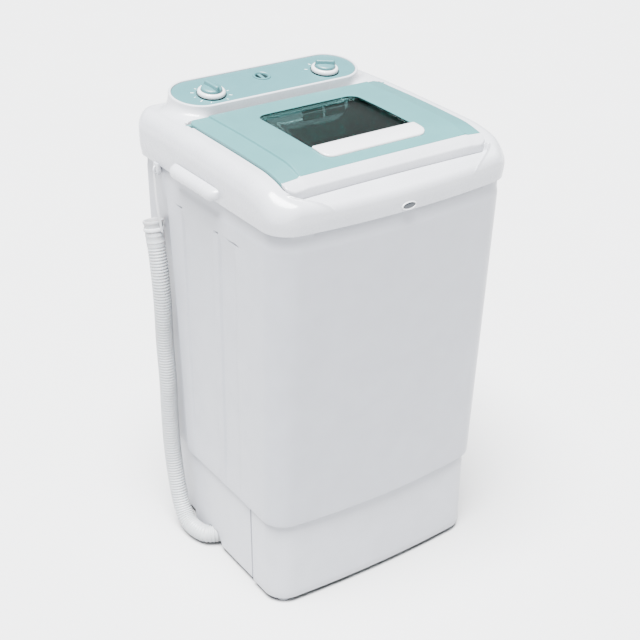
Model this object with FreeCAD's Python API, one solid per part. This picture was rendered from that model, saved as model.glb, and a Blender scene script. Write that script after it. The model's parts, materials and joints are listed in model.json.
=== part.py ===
import FreeCAD
import Part
import math
import os

from FreeCAD import Rotation, Vector

# Single-tub top-load mini washing machine, in millimetres.
# +Z is up, the origin is on the floor under the middle of the body, the front faces -Y,
# and the drain hose runs down the -X side at the rear.

# ---------------------------------------------------------------- driving dimensions
WALL = 3.0                  # moulded wall thickness
HALF_DEPTH = 182.5          # half of the depth over the top cover
FOOT_H = 8.0
BASE_TOP = 132.0            # the tub housing stands on the base here
HOUSING_TOP = 558.0
SEAM_Z = 560.0              # underside of the top cover
FLANGE_T = SEAM_Z - HOUSING_TOP

# Horizontal sections: height, half width, front corner y, rear y, front bow, front and rear corner radius
BASE_LOW = (FOOT_H, 162.5, -131.4, 170.0, 7.9, 32.0, 26.0)
BASE_HIGH = (BASE_TOP, 162.5, -132.4, 172.0, 9.0, 32.0, 26.0)
HOUSING_LOW = (BASE_TOP, 168.5, -137.5, 176.0, 13.8, 33.0, 28.0)
HOUSING_HIGH = (HOUSING_TOP, 171.6, -163.2, 178.0, 15.0, 38.0, 28.0)
COVER_SECTIONS = [
    (SEAM_Z, 174.0, -165.4, 180.5, 15.0, 38.0, 30.0),
    (567.0, 175.5, -166.6, 182.0, 15.0, 38.0, 30.0),
    (576.0, 176.0, -166.7, HALF_DEPTH, 15.0, 38.0, 30.0),
    (592.0, 176.0, -166.7, HALF_DEPTH, 15.0, 38.0, 30.0),
    (604.0, 175.2, -165.9, 181.7, 15.0, 38.0, 30.0),
    (611.0, 172.8, -163.5, 179.3, 15.0, 37.0, 29.0),
    (616.0, 169.4, -160.1, 175.9, 15.0, 36.0, 28.0),
    (620.5, 163.5, -154.2, 170.0, 15.0, 34.0, 26.0),
]
# Side view of the top cover: (y, z) from the rear seam over the top to the front seam
COVER_PROFILE = [
    (HALF_DEPTH, SEAM_Z), (HALF_DEPTH, 604.0), (178.0, 612.0), (170.0, 616.5), (80.0, 620.0),
    (-95.0, 617.0), (-134.5, 610.0), (-145.0, 605.0), (-150.0, 597.5), (-165.0, 594.0),
    (-176.0, 588.0), (-181.7, 576.0), (-181.7, SEAM_Z),
]

# Shallow vertical flutes in both sides of the housing
FLUTE_FRONTS = (24.0, -65.5)
FLUTE_WIDTH, FLUTE_TOP, FLUTE_DEPTH = 42.0, 518.0, 1.4

# Lid
LID_HALF_W = 146.7
LID_REAR = 83.0
LID_FRONT = -148.5
LID_R = 14.0
LID_CROWN = 5.0
LID_T = 2.5
LID_SKIRT = 8.0
LID_SPLIT = -134.5          # teal frame behind this line, white band in front of it
LID_LINE = [(LID_REAR + 4.0, 619.8), (30.0, 619.8), (-95.0, 616.8), (LID_SPLIT, 610.0), (-144.0, 605.0),
            (LID_FRONT - 4.0, 596.5)]
LID_GAP = 1.0
RECESS = 9.5                # depth of the lid's seat below the cover's top
HINGE_Y, HINGE_Z = 75.0, 615.5
PIN_R = 2.5
RUN = 0.05                  # radial running clearance
OPENING = (135.0, -125.0, 60.0, 30.0)   # half width, front, rear, corner radius of the loading opening
WINDOW = (75.0, -87.0, 36.0, 14.0)      # same for the lid's window
GRIP_BAR = (76.0, -119.0, -89.0, 10.0)  # and for the white bar in front of it

SEAT_REAR = 88.5            # rear edge of the lid's seat
SEAT_R = 14.0

# Control panel, tilted towards the user
TILT = 9.2
PANEL_Y, PANEL_Z = 128.0, 634.3
PANEL_HALF_L, PANEL_HALF_H, PANEL_MID = 137.0, 35.8, 3.3
PANEL_T = 2.0
KNOB_X, KNOB_V, KNOB_R = 88.0, -5.6, 18.5
DRUM_R = 14.0               # coloured drum set into the knob's white skirt
SHAFT_TOP = 9.0             # top of the knob's shaft above the panel
KNOB_SHAFT_R = 3.0
INLET_V, INLET_R = 14.0, 8.0
SELECTOR_TURN = 90.0
CAM_R, CAM_W, CAM_STEPS = 13.0, -46.0, 9
TIMER_BLOCK = (24.0, 20.0, 36.0, -32.0)     # half width, half height, depth, lower end of the shaft's bore
SELECTOR_BLOCK = (18.0, 16.0, 28.0, -30.0)

# Base: feet, lead entry and screws
CAP_END = -72.0             # the front cap of the base wraps round the sides to here
CAP_PROUD = 1.6
FOOT_POINTS = [(-143.0, -118.0), (143.0, -118.0), (-126.0, 148.0), (143.0, 148.0)]
CAP_SCREWS = [(-120.0, -100.0), (120.0, -100.0), (0.0, -118.0)]
LEAD_X, LEAD_Z = 120.0, 60.0
LEAD_R, BUSH_R, BUSH_COLLAR_R = 4.0, 8.0, 11.0
# Lower edge of the base's left wall over the hose, as (y, z)
HOSE_DOOR = [(13.0, 0.0), (13.0, 8.0), (18.0, 21.0), (26.0, 29.5), (62.0, 31.0), (72.0, 34.0), (80.0, 40.0),
             (85.0, 46.0), (104.0, 46.0), (104.0, 0.0)]
SCREW_HEAD_R, SCREW_R = 3.6, 1.6

# Rear cover of the tub housing
REAR_COVER = (116.0, 157.0, 418.0)          # half width, lower and upper edge
REAR_COVER_T = 2.2
REAR_SCREWS = [(x, z) for x in (-107.0, 3.0, 107.0) for z in (166.0, 408.0)]

# Wash tub and drive
DRIVE_Y = -8.0              # the pulsator's axis
TUB_LOW = (215.0, 138.0, -124.0, 108.0, 68.0)      # height, half width, front, rear, corner radius
TUB_HIGH = (HOUSING_TOP, 156.0, -150.0, 130.0, 60.0)
TUB_T = 2.5
SHAFT_R = 6.0
PULSATOR_R = 94.0
BELT_Z, BELT_H, BELT_T = 144.0, 7.0, 5.0
BIG_PULLEY_R, SMALL_PULLEY_R = 70.0, 13.0
BELT_GAP = 0.35
MOTOR_X, MOTOR_Y, MOTOR_R = 92.0, 42.0, 45.0
MOTOR_SHAFT_R = 5.0
POST_POINTS = [(MOTOR_X + dx, MOTOR_Y + dy) for dx in (-56.0, 56.0) for dy in (-48.0, 48.0)]
MOTOR_BOLTS = [(MOTOR_X + dx, MOTOR_Y + dy) for dx in (-37.0, 37.0) for dy in (-37.0, 37.0)]
BOLT_R = 2.5
OVERFLOW_X, OVERFLOW_Z = 20.0, 505.0

# Drain
VALVE_X, VALVE_Y = -60.0, 146.0
VALVE_TRAVEL = 8.0
FINGER_Y, FINGER_Z = 129.8, 589.6
HOSE_R, HOSE_BORE, CUFF_BORE = 12.5, 10.2, 10.8
CUFF_LENGTH = 30.0
CHANNEL_X = -162.0          # wall of the channel that the hose hangs in
BASE_CHANNEL_X = -151.0
CHANNEL_LINE = [(115.5, 640.0), (115.5, 557.0), (111.5, 524.0), (101.5, 513.0), (97.5, 430.0),
                (92.0, 280.0), (87.5, 0.0)]
# The hose's route, from its mouth down to where it turns in under the base
HOSE_ROUTE = [(-178, 128, 446), (-179, 120, 408), (-178.5, 118, 356), (-178, 121.5, 298), (-178, 118, 240),
              (-178, 120.5, 182), (-178, 119.5, 124), (-178.5, 111, 76), (-178.8, 99, 32), (-178.5, 80, 15.2),
              (-176, 54, 14.6), (-165, 35, 15.5), (-138, 31, 15.5)]
DRAIN_ROUTE = [(-138, 31, 15.5), (-117.75, 28, 15.5), (-101, 44, 36), (-84, 86, 70), (-65, 128, 106),
               (VALVE_X, VALVE_Y, 142), (VALVE_X, VALVE_Y, 172)]


# ---------------------------------------------------------------- general helpers
def section(z, half_w, front, rear, bow, r_front, r_rear, inset=0.0):
    """Closed horizontal wire: bowed front, straight sides and rear, rounded corners."""
    half_w -= inset
    front += inset
    rear -= inset
    r_front = max(r_front - inset, 2.0)
    r_rear = max(r_rear - inset, 2.0)
    bow_r = (half_w ** 2 + bow ** 2) / (2 * bow)
    bow_y = front - bow + bow_r
    cx = half_w - r_front
    cy = bow_y - math.sqrt((bow_r - r_front) ** 2 - cx ** 2)
    grow = bow_r / (bow_r - r_front)
    tx, ty = cx * grow, bow_y + (cy - bow_y) * grow
    half_angle = math.atan2(ty - cy, tx - cx) / 2
    mx, my = cx + r_front * math.cos(half_angle), cy + r_front * math.sin(half_angle)
    rx, ry = half_w - r_rear, rear - r_rear
    diag = r_rear / math.sqrt(2)

    def arc(a, b, c):
        return Part.Arc(Vector(a[0], a[1], z), Vector(b[0], b[1], z), Vector(c[0], c[1], z)).toShape()

    def line(a, b):
        return Part.makeLine(Vector(a[0], a[1], z), Vector(b[0], b[1], z))

    return Part.Wire([
        arc((-tx, ty), (0, front - bow), (tx, ty)),
        arc((tx, ty), (mx, my), (half_w, cy)),
        line((half_w, cy), (half_w, ry)),
        arc((half_w, ry), (rx + diag, ry + diag), (rx, rear)),
        line((rx, rear), (-rx, rear)),
        arc((-rx, rear), (-rx - diag, ry + diag), (-half_w, ry)),
        line((-half_w, ry), (-half_w, cy)),
        arc((-half_w, cy), (-mx, my), (-tx, ty)),
    ])


def loft(wires):
    return Part.makeLoft(wires, True, True)


def shell_body(sections, inset=0.0):
    return loft([section(*s, inset=inset) for s in sections])


def box(x0, x1, y0, y1, z0, z1):
    return Part.makeBox(x1 - x0, y1 - y0, z1 - z0, Vector(x0, y0, z0))


def cylinder(r, z0, z1, x=0.0, y=0.0):
    return Part.makeCylinder(r, z1 - z0, Vector(x, y, z0))


def ring(r_out, r_in, z0, z1, x=0.0, y=0.0):
    return cylinder(r_out, z0, z1, x, y).cut(cylinder(r_in, z0 - 1, z1 + 1, x, y))


def rod(r, start, end):
    start, end = Vector(*start), Vector(*end)
    return Part.makeCylinder(r, (end - start).Length, start, end - start)


def plan(z, half_w, front, rear, r, x=0.0):
    """Rounded rectangle wire at height z."""
    x0, x1 = x - half_w, x + half_w
    corners = [(x1 - r, front + r, -90), (x1 - r, rear - r, 0),
               (x0 + r, rear - r, 90), (x0 + r, front + r, 180)]
    arcs = []
    for cx, cy, start in corners:
        points = []
        for turn in (0, 45, 90):
            a = math.radians(start + turn)
            points.append(Vector(cx + r * math.cos(a), cy + r * math.sin(a), z))
        arcs.append(Part.Arc(*points).toShape())
    edges = []
    for i, edge in enumerate(arcs):
        edges.append(edge)
        following = arcs[(i + 1) % 4]
        a, b = edge.lastVertex().Point, following.firstVertex().Point
        if (b - a).Length > 1e-6:
            edges.append(Part.makeLine(a, b))
    return Part.Wire(edges)


def slab(z0, z1, half_w, front, rear, r, x=0.0):
    return Part.Face(plan(z0, half_w, front, rear, r, x)).extrude(Vector(0, 0, z1 - z0))


def side_prism(points, x0=-260.0, x1=260.0):
    """A (y, z) polygon drawn out along X."""
    wire = Part.makePolygon([Vector(x0, y, z) for y, z in points + points[:1]])
    return Part.Face(wire).extrude(Vector(x1 - x0, 0, 0))


def below_cover(drop):
    return side_prism([(y, z - drop) for y, z in COVER_PROFILE] + [(-181.7, 500.0), (HALF_DEPTH, 500.0)])


def fuse(*shapes):
    return shapes[0].multiFuse(list(shapes[1:])).removeSplitter()


def mirrored(shape):
    return shape.mirror(Vector(0, 0, 0), Vector(1, 0, 0))


def on_panel(shape):
    """Move a shape from the panel's own frame (z along its normal) into place."""
    placed = shape.copy()
    placed.rotate(Vector(0, 0, 0), Vector(1, 0, 0), TILT)
    placed.translate(Vector(0, PANEL_Y, PANEL_Z))
    return placed


def route_wire(route):
    """Straight runs joined by tangent arcs, each as large as its two runs allow."""
    points = [Vector(*p) for p in route]
    edges, start, radii = [], points[0], []
    for before, here, after in zip(points, points[1:], points[2:]):
        d0, d1 = (here - before), (after - here)
        turn = d0.getAngle(d1)
        reach = 0.45 * min(d0.Length, d1.Length)
        radii.append(reach / math.tan(turn / 2))
        u0, u1 = d0.normalize(), d1.normalize()
        a, b = here - u0 * reach, here + u1 * reach
        inward = (u1 - u0).normalize()
        centre = here + inward * (reach / math.sin(turn / 2))
        middle = centre - inward * radii[-1]
        edges.append(Part.makeLine(start, a))
        edges.append(Part.Arc(a, middle, b).toShape())
        start = b
    edges.append(Part.makeLine(start, points[-1]))
    return Part.Wire(edges), radii


def tube(route, r_out, r_in, name):
    """A tube along a route; its volume is compared with section times length."""
    path, radii = route_wire(route)
    start = Vector(*route[0])
    along = Vector(*route[1]) - start

    def sweep(r):
        circle = Part.Wire([Part.Circle(start, along, r).toShape()])
        return path.makePipeShell([circle], True, True)

    shape = sweep(r_out).cut(sweep(r_in)) if r_in else sweep(r_out)
    expected = math.pi * (r_out ** 2 - r_in ** 2) * path.Length
    print(name, "length", round(path.Length, 1), "volume ratio", round(shape.Volume / expected, 4),
          "radii", [round(r) for r in radii])
    return shape


def screw(r_head, r_shank, length, head, at, axis):
    """Pan-head screw: the head's underside is at 'at' and the shank runs against 'axis'."""
    at, axis = Vector(*at), Vector(*axis)
    shank = Part.makeCylinder(r_shank, length, at, axis * -1)
    cap = Part.makeCylinder(r_head, head, at, axis)
    slot = Part.makeCylinder(r_head * 0.35, head * 0.5, at + axis * (head * 0.6), axis)
    return cap.fuse(shank).cut(slot)


# ---------------------------------------------------------------- cabinet
def channel(wall_x, step=0.0):
    """The space cut out of the rear left corner for the hose."""
    line = [(y - step, z) for y, z in CHANNEL_LINE]
    points = line + [(240.0, 0.0), (240.0, 640.0)]
    return side_prism(points, -240.0, wall_x + step)


def tub_housing():
    outer = shell_body([HOUSING_LOW, HOUSING_HIGH]).cut(channel(CHANNEL_X))
    inner = shell_body([HOUSING_LOW, HOUSING_HIGH], WALL).cut(channel(CHANNEL_X, WALL))
    foot_flange = box(-145, 145, -120, 160, BASE_TOP - 5, BASE_TOP + WALL)
    inner = inner.cut(box(-200, 200, -200, 200, BASE_TOP - 1, BASE_TOP + WALL))
    shape = outer.cut(inner).cut(foot_flange)
    lean = math.degrees(math.atan2(HOUSING_HIGH[1] - HOUSING_LOW[1], HOUSING_TOP - BASE_TOP))
    for side in (-1, 1):
        for y0 in FLUTE_FRONTS:
            flute = box(-2.0, 2.0, y0, y0 + FLUTE_WIDTH, BASE_TOP - 20, FLUTE_TOP)
            flute.rotate(Vector(0, 0, BASE_TOP), Vector(0, 1, 0), side * lean)
            flute.translate(Vector(side * (HOUSING_LOW[1] + 2.0 - FLUTE_DEPTH), 0, 0))
            shape = shape.cut(flute)
    shape = shape.cut(box(-100, 100, 170, 190, 175, 400))
    for x, z in REAR_SCREWS:
        shape = shape.cut(rod(SCREW_R, (x, 165, z), (x, 190, z)))
    return shape


def rear_plane_y(z):
    """y of the tub housing's rear face at height z."""
    return HOUSING_LOW[3] + (HOUSING_HIGH[3] - HOUSING_LOW[3]) * (z - BASE_TOP) / (HOUSING_TOP - BASE_TOP)


def rear_cover():
    half_w, z0, z1 = REAR_COVER
    points = [(rear_plane_y(z0), z0), (rear_plane_y(z1), z1), (rear_plane_y(z1) + REAR_COVER_T, z1),
              (rear_plane_y(z0) + REAR_COVER_T, z0)]
    plate = side_prism(points, -half_w, half_w)
    for x in range(-80, 81, 16):
        plate = plate.cut(box(x - 3, x + 3, 170, 190, 300, 360))
    for x, z in REAR_SCREWS:
        plate = plate.cut(rod(2.0, (x, 165, z), (x, 190, z)))
    return plate


def rear_cover_screws():
    screws = []
    for x, z in REAR_SCREWS:
        at = (x, rear_plane_y(z) + REAR_COVER_T + 0.1, z)
        screws.append(screw(SCREW_HEAD_R, SCREW_R, 8.0, 1.8, at, (0, 1, 0)))
    return Part.makeCompound(screws)


def base_body():
    outer = shell_body([BASE_LOW, BASE_HIGH]).cut(channel(BASE_CHANNEL_X))
    inner = shell_body([BASE_LOW, BASE_HIGH], WALL).cut(channel(BASE_CHANNEL_X, WALL))
    inner = inner.cut(box(-200, 200, -200, 200, FOOT_H - 1, FOOT_H + WALL))
    shape = outer.cut(inner)
    shape = shape.cut(box(-200, 200, -200, CAP_END, FOOT_H + WALL, BASE_TOP + 1))
    lip = shell_body([BASE_LOW, BASE_HIGH], WALL + 0.2)
    shape = shape.cut(box(-200, 200, -200, CAP_END, 0, BASE_TOP + 1).cut(lip))
    shape = shape.cut(side_prism(HOSE_DOOR, -170, -143))
    shape = shape.cut(box(-170, -95, 10, 104, 0, FOOT_H + WALL + 1))
    for x, y in POST_POINTS:
        shape = shape.cut(cylinder(5.2, 0, 20, x, y))
    for x, y in CAP_SCREWS:
        shape = shape.cut(cylinder(2.0, 0, 20, x, y))
    return shape.cut(rod(BUSH_R, (LEAD_X, 150, LEAD_Z), (LEAD_X, 200, LEAD_Z)))


def base_front_cap():
    """Front cap of the base, wrapped round to both sides and standing slightly proud of them."""
    proud = [s[:1] + (s[1] + CAP_PROUD, s[2] - CAP_PROUD) + s[3:] for s in (BASE_LOW, BASE_HIGH)]
    inside = shell_body([BASE_LOW, BASE_HIGH], 1.4)
    wrap = shell_body(proud).cut(inside).common(box(-200, 200, -200, CAP_END, FOOT_H, BASE_TOP))
    tabs = []
    for x, y in CAP_SCREWS:
        reach = math.copysign(180.0, x) if x else 0.0
        end_y = y if x else -180.0
        z = FOOT_H + WALL
        tab = box(min(x, reach) - 7, max(x, reach) + 7, min(y, end_y) - 7, y + 7, z, z + WALL)
        tabs.append(tab.common(inside))
    shape = fuse(wrap, *tabs)
    for x, y in CAP_SCREWS:
        shape = shape.cut(cylinder(SCREW_R, 0, 30, x, y))
    return shape


def base_screws():
    return Part.makeCompound([screw(SCREW_HEAD_R, SCREW_R, 7.0, 1.8, (x, y, FOOT_H), (0, 0, -1))
                              for x, y in CAP_SCREWS])


def feet():
    shapes = []
    for x, y in FOOT_POINTS:
        foot = Part.makeCone(9.0, 11.0, FOOT_H, Vector(x, y, 0))
        shapes.append(foot.cut(cylinder(4.5, -1, 2.5, x, y)))
    return Part.makeCompound(shapes)


def cord_gland():
    """Empty bush in the base's rear wall for the power lead."""
    bush = rod(BUSH_R, (LEAD_X, 164, LEAD_Z), (LEAD_X, 176, LEAD_Z))
    bush = bush.fuse(rod(BUSH_COLLAR_R, (LEAD_X, 171.2, LEAD_Z), (LEAD_X, 174.5, LEAD_Z)))
    return bush.cut(rod(LEAD_R, (LEAD_X, 150, LEAD_Z), (LEAD_X, 190, LEAD_Z))).cut(base_body())


# ---------------------------------------------------------------- top cover
def top_cover():
    outer = shell_body(COVER_SECTIONS).common(below_cover(0.0))
    inner = shell_body(COVER_SECTIONS, WALL).common(below_cover(WALL))
    inner = inner.fuse(slab(SEAM_Z - 1, SEAM_Z + 0.5, 150, -140, 150, 30))
    shell = outer.cut(inner)
    seat_w, seat_front = LID_HALF_W + LID_GAP, LID_FRONT - LID_GAP
    seat = slab(500, 660, seat_w, seat_front, SEAT_REAR, SEAT_R)
    seat_wall = slab(500, 660, seat_w + WALL, seat_front - WALL, SEAT_REAR + WALL, SEAT_R + WALL)
    seat_part = seat_wall.common(outer).cut(below_cover(RECESS + WALL))
    trough = box(-170, 170, OPENING[2] + WALL, SEAT_REAR + WALL, 593, 640).common(seat_wall).common(outer)
    rim = slab(SEAM_Z, 640, OPENING[0] + WALL, OPENING[1] - WALL, OPENING[2] + WALL, OPENING[3] + WALL)
    rim = rim.common(below_cover(RECESS)).cut(box(-200, 200, -200, 200, 500, SEAM_Z))
    shape = fuse(shell, seat_part, trough, rim)
    shape = shape.cut(seat.cut(below_cover(RECESS)))
    shape = shape.cut(seat.common(box(-170, 170, OPENING[2] + 2 * WALL, SEAT_REAR, 596, 660)))
    shape = shape.cut(slab(500, 660, *OPENING))
    shape = shape.cut(slab(590, 660, 128, 104, 160, 12))
    for side in (-1, 1):
        boss = rod(6.0, (side * 150.0, HINGE_Y, HINGE_Z - 2), (side * 154.5, HINGE_Y, HINGE_Z - 2))
        bore = rod(PIN_R + RUN, (side * 144, HINGE_Y, HINGE_Z), (side * 153.2, HINGE_Y, HINGE_Z))
        shape = shape.cut(bore).fuse(boss.common(outer).cut(bore))
    return shape


def handle(side):
    """Grip ledge on the lower edge of the cover's side."""
    face = Part.Face(Part.makePolygon([Vector(x, -42.5, z) for x, z in
                                       [(170, 578), (181, 576.5), (187, 571), (188, 564), (184, 558.5),
                                        (180, 557.8), (178, 562), (170, 562), (170, 578)]]))
    ledge = face.extrude(Vector(0, 109, 0))
    ends = slab(540, 600, 40, -42.5, 66.5, 13, 148.0)
    ledge = ledge.common(ends).cut(shell_body(COVER_SECTIONS))
    return ledge if side > 0 else mirrored(ledge)


def badge():
    """Blank oval badge over the seam, in the middle of the front."""
    ellipse = Part.Ellipse(Vector(0, 0, 0), 11.0, 5.5).toShape()
    plate = Part.Face(Part.Wire([ellipse])).extrude(Vector(0, 0, 3.2))
    plate.rotate(Vector(0, 0, 0), Vector(1, 0, 0), 90)
    plate.translate(Vector(0, -HALF_DEPTH + 3.2, 565.0))
    return plate.cut(shell_body(COVER_SECTIONS)).cut(shell_body([HOUSING_LOW, HOUSING_HIGH]))


# ---------------------------------------------------------------- control panel
def pill(half_l, half_h, z0, z1, mid=PANEL_MID):
    return slab(z0, z1, half_l, mid - half_h, mid + half_h, half_h - 0.01)


def hump_solid(inset, top):
    low = plan(600.0, 158.0 - inset, 88.0 + inset, 180.0 - inset, 42.0 - inset)
    high = plan(648.0, 147.0 - inset, 94.0 + inset, 172.0 - inset, 36.0 - inset)
    lid = on_panel(box(-300, 300, -200, 200, -200, top))
    return loft([low, high]).common(lid)


def control_housing():
    shape = hump_solid(0.0, 0.8).cut(hump_solid(WALL, -PANEL_T - 2.5))
    shape = shape.cut(shell_body(COVER_SECTIONS).common(below_cover(0.0)))
    shape = shape.cut(on_panel(pill(PANEL_HALF_L + 0.3, PANEL_HALF_H + 0.3, -PANEL_T, 20)))
    for side in (-1, 1):
        shape = shape.cut(on_panel(cylinder(9.0, -20, 20, side * KNOB_X, KNOB_V)))
    return shape.cut(on_panel(cylinder(INLET_R + 2.2, -20, 20, 0, INLET_V)))


def control_panel():
    plate = pill(PANEL_HALF_L, PANEL_HALF_H, -PANEL_T, 0)
    for side in (-1, 1):
        plate = plate.cut(cylinder(6.0, -20, 20, side * KNOB_X, KNOB_V))
    return on_panel(plate.cut(cylinder(INLET_R + 2.0, -20, 20, 0, INLET_V)))


def water_inlet_port():
    tube_part = ring(INLET_R + 2.0, INLET_R, -34.0, 0.0, 0, INLET_V)
    collar = ring(12.5, INLET_R, 0.0, 1.4, 0, INLET_V)
    return on_panel(tube_part.fuse(collar))


def switch_body(side, half_w, half_h, depth, bore_end):
    """Switch or timer block behind the panel, with a neck that guides its shaft."""
    body = box(side * KNOB_X - half_w, side * KNOB_X + half_w, KNOB_V - half_h, KNOB_V + half_h,
               -depth, -PANEL_T - 2.6)
    neck = cylinder(5.6, -PANEL_T - 2.6, -0.6, side * KNOB_X, KNOB_V)
    bore = cylinder(KNOB_SHAFT_R + RUN, bore_end, 5, side * KNOB_X, KNOB_V)
    return on_panel(body.fuse(neck).cut(bore))


def knob_shaft(side, low):
    return on_panel(cylinder(KNOB_SHAFT_R, low, SHAFT_TOP, side * KNOB_X, KNOB_V))


def selector_cam():
    """Stepped ramp on the selector's shaft; it lifts the valve strap as the knob turns."""
    shape = cylinder(CAM_R, CAM_W - 5.0, CAM_W)
    step = SELECTOR_TURN / CAM_STEPS
    for k in range(1, CAM_STEPS + 1):
        height = VALVE_TRAVEL * (k - 0.5) / CAM_STEPS
        wedge = Part.makeCylinder(CAM_R, height, Vector(0, 0, CAM_W), Vector(0, 0, 1), step)
        wedge.rotate(Vector(0, 0, 0), Vector(0, 0, 1), 180.0 + 8.0 + step * (k - 1))
        shape = shape.fuse(wedge)
    shape = shape.cut(cylinder(KNOB_SHAFT_R, CAM_W - 6, CAM_W + VALVE_TRAVEL + 1))
    shape.translate(Vector(KNOB_X, KNOB_V, 0))
    return on_panel(shape)


def knob(side):
    """White skirt of a control knob, with a recess for its drum and a bore for its shaft."""
    x = side * KNOB_X
    skirt = cylinder(KNOB_R, 0.6, 3.0, x, KNOB_V)
    skirt = skirt.fuse(Part.makeCone(KNOB_R, KNOB_R - 2.0, 3.0, Vector(x, KNOB_V, 3.0)))
    skirt = skirt.cut(cylinder(DRUM_R, 2.0, 8.0, x, KNOB_V))
    return on_panel(skirt.cut(cylinder(KNOB_SHAFT_R, 0, SHAFT_TOP, x, KNOB_V)))


def knob_grip(side, angle):
    """Coloured drum of a knob with its raised grip bar."""
    drum = cylinder(DRUM_R, 2.0, 8.0).fuse(Part.makeCone(DRUM_R, DRUM_R - 1.2, 2.0, Vector(0, 0, 8.0)))
    drum = drum.fuse(slab(9.0, 15.5, 3.4, -13.2, 13.2, 3.0)).cut(cylinder(KNOB_SHAFT_R, 0, SHAFT_TOP))
    drum.rotate(Vector(0, 0, 0), Vector(0, 0, 1), angle)
    drum.translate(Vector(side * KNOB_X, KNOB_V, 0))
    return on_panel(drum)


# ---------------------------------------------------------------- lid
def under_lid(drop):
    """Solid under the lid's crowned surface, lowered by 'drop'."""
    wires = []
    half = LID_HALF_W + 8.0
    for y, z in LID_LINE:
        z -= drop
        rise = LID_CROWN * (half / LID_HALF_W) ** 2
        left, right = Vector(-half, y, z + LID_CROWN - rise), Vector(half, y, z + LID_CROWN - rise)
        top = Part.Arc(left, Vector(0, y, z + LID_CROWN), right).toShape()
        bottom_left, bottom_right = Vector(-half, y, 560), Vector(half, y, 560)
        wires.append(Part.Wire([top, Part.makeLine(right, bottom_right),
                                Part.makeLine(bottom_right, bottom_left), Part.makeLine(bottom_left, left)]))
    return loft(wires)


def lid_shell():
    lid_plan = slab(560, 660, LID_HALF_W, LID_FRONT, LID_REAR, LID_R)
    hollow = slab(560, 660, LID_HALF_W - LID_T, LID_FRONT + LID_T, LID_REAR - LID_T, LID_R - LID_T)
    body = lid_plan.common(under_lid(0.0)).cut(under_lid(LID_SKIRT).cut(under_lid(LID_SKIRT + 60)))
    body = body.cut(box(-200, 200, -200, 200, 500, 588))
    return body.cut(hollow.common(under_lid(LID_T)))


def lid_frame():
    shape = lid_shell().common(box(-200, 200, LID_SPLIT, 200, 500, 700))
    shape = shape.cut(slab(560, 660, *WINDOW))
    lid_plan = slab(560, 660, LID_HALF_W, LID_FRONT, LID_REAR, LID_R)
    for side in (-1, 1):
        x0, x1 = side * (LID_HALF_W - 6), side * LID_HALF_W
        eye = rod(5.0, (x0, HINGE_Y, HINGE_Z - 1), (x1, HINGE_Y, HINGE_Z - 1))
        shape = shape.fuse(eye.common(under_lid(0.5)).common(lid_plan))
        shape = shape.cut(rod(PIN_R, (side * 138, HINGE_Y, HINGE_Z), (side * 149, HINGE_Y, HINGE_Z)))
    return shape


def lid_front_band():
    return lid_shell().common(box(-200, 200, -200, LID_SPLIT, 500, 700))


def lid_window():
    """Tinted pane under the frame, with a rim that carries it."""
    half_w, front, rear, r = WINDOW
    pane = slab(560, 660, half_w + 6, front - 6, rear + 6, r + 6)
    return pane.common(under_lid(LID_T)).cut(under_lid(LID_T + 2.0))


def lid_grip_bar():
    bar = slab(560, 660, *GRIP_BAR)
    return bar.common(under_lid(-2.5)).cut(under_lid(0.0))


def lid_hinge_pins():
    pin = rod(PIN_R, (LID_HALF_W - 6, HINGE_Y, HINGE_Z), (153.0, HINGE_Y, HINGE_Z))
    return Part.makeCompound([pin, mirrored(pin)])


# ---------------------------------------------------------------- wash tub
def tub_wires(inset, floor=0.0):
    z0, w0, f0, r0, c0 = TUB_LOW
    z1, w1, f1, r1, c1 = TUB_HIGH
    return [plan(z0 + floor, w0 - inset, f0 + inset, r0 - inset, c0 - inset),
            plan(z1, w1 - inset, f1 + inset, r1 - inset, c1 - inset)]


def wash_tub():
    z0 = TUB_LOW[0]
    body = loft(tub_wires(0.0)).cut(loft(tub_wires(TUB_T, 3.0)))
    flange_plan = HOUSING_HIGH[:1] + (172.6, HOUSING_HIGH[2] - 1.0, 179.0) + HOUSING_HIGH[4:]
    flange = Part.Face(section(*flange_plan)).extrude(Vector(0, 0, FLANGE_T))
    mouth = slab(HOUSING_TOP - 1, SEAM_Z + 1, TUB_HIGH[1] - TUB_T, TUB_HIGH[2] + TUB_T, TUB_HIGH[3] - TUB_T,
                 TUB_HIGH[4] - TUB_T)
    rear_slot = box(-125, 125, 136, 168, HOUSING_TOP - 1, SEAM_Z + 1)
    shape = fuse(body, flange.cut(mouth).cut(rear_slot).cut(channel(CHANNEL_X)))
    shape = shape.cut(cylinder(16.0, z0 - 1, z0 + 5, 0, DRIVE_Y))
    shape = shape.cut(rod(9.0, (VALVE_X, 90, 232), (VALVE_X, 130, 232)))
    return shape.cut(rod(7.0, (OVERFLOW_X, 110, OVERFLOW_Z), (OVERFLOW_X, 140, OVERFLOW_Z)))


def tub_rear_y(z):
    """y of the wash tub's inner rear wall at height z."""
    z0, z1 = TUB_LOW[0], TUB_HIGH[0]
    return TUB_LOW[3] + (TUB_HIGH[3] - TUB_LOW[3]) * (z - z0) / (z1 - z0) - TUB_T - 0.3


def lint_filter_frame():
    """Slim cassette on the tub's rear wall with two windows side by side."""
    y = tub_rear_y(452.0)
    frame = box(-34, 34, y - 9, y, 452, 532).cut(box(-30, 30, y - 7, y + 1, 456, 528))
    for x in (-15.5, 15.5):
        frame = frame.cut(box(x - 13, x + 13, y - 12, y - 5, 462, 522))
    return frame


def lint_filter_mesh():
    y = tub_rear_y(452.0)
    mesh = box(-29.5, 29.5, y - 6.8, y - 5.8, 456.5, 527.5)
    for x in range(-24, 25, 8):
        for z in range(466, 523, 8):
            mesh = mesh.cut(rod(2.6, (x, y - 10, z), (x, y, z)))
    return mesh


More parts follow.
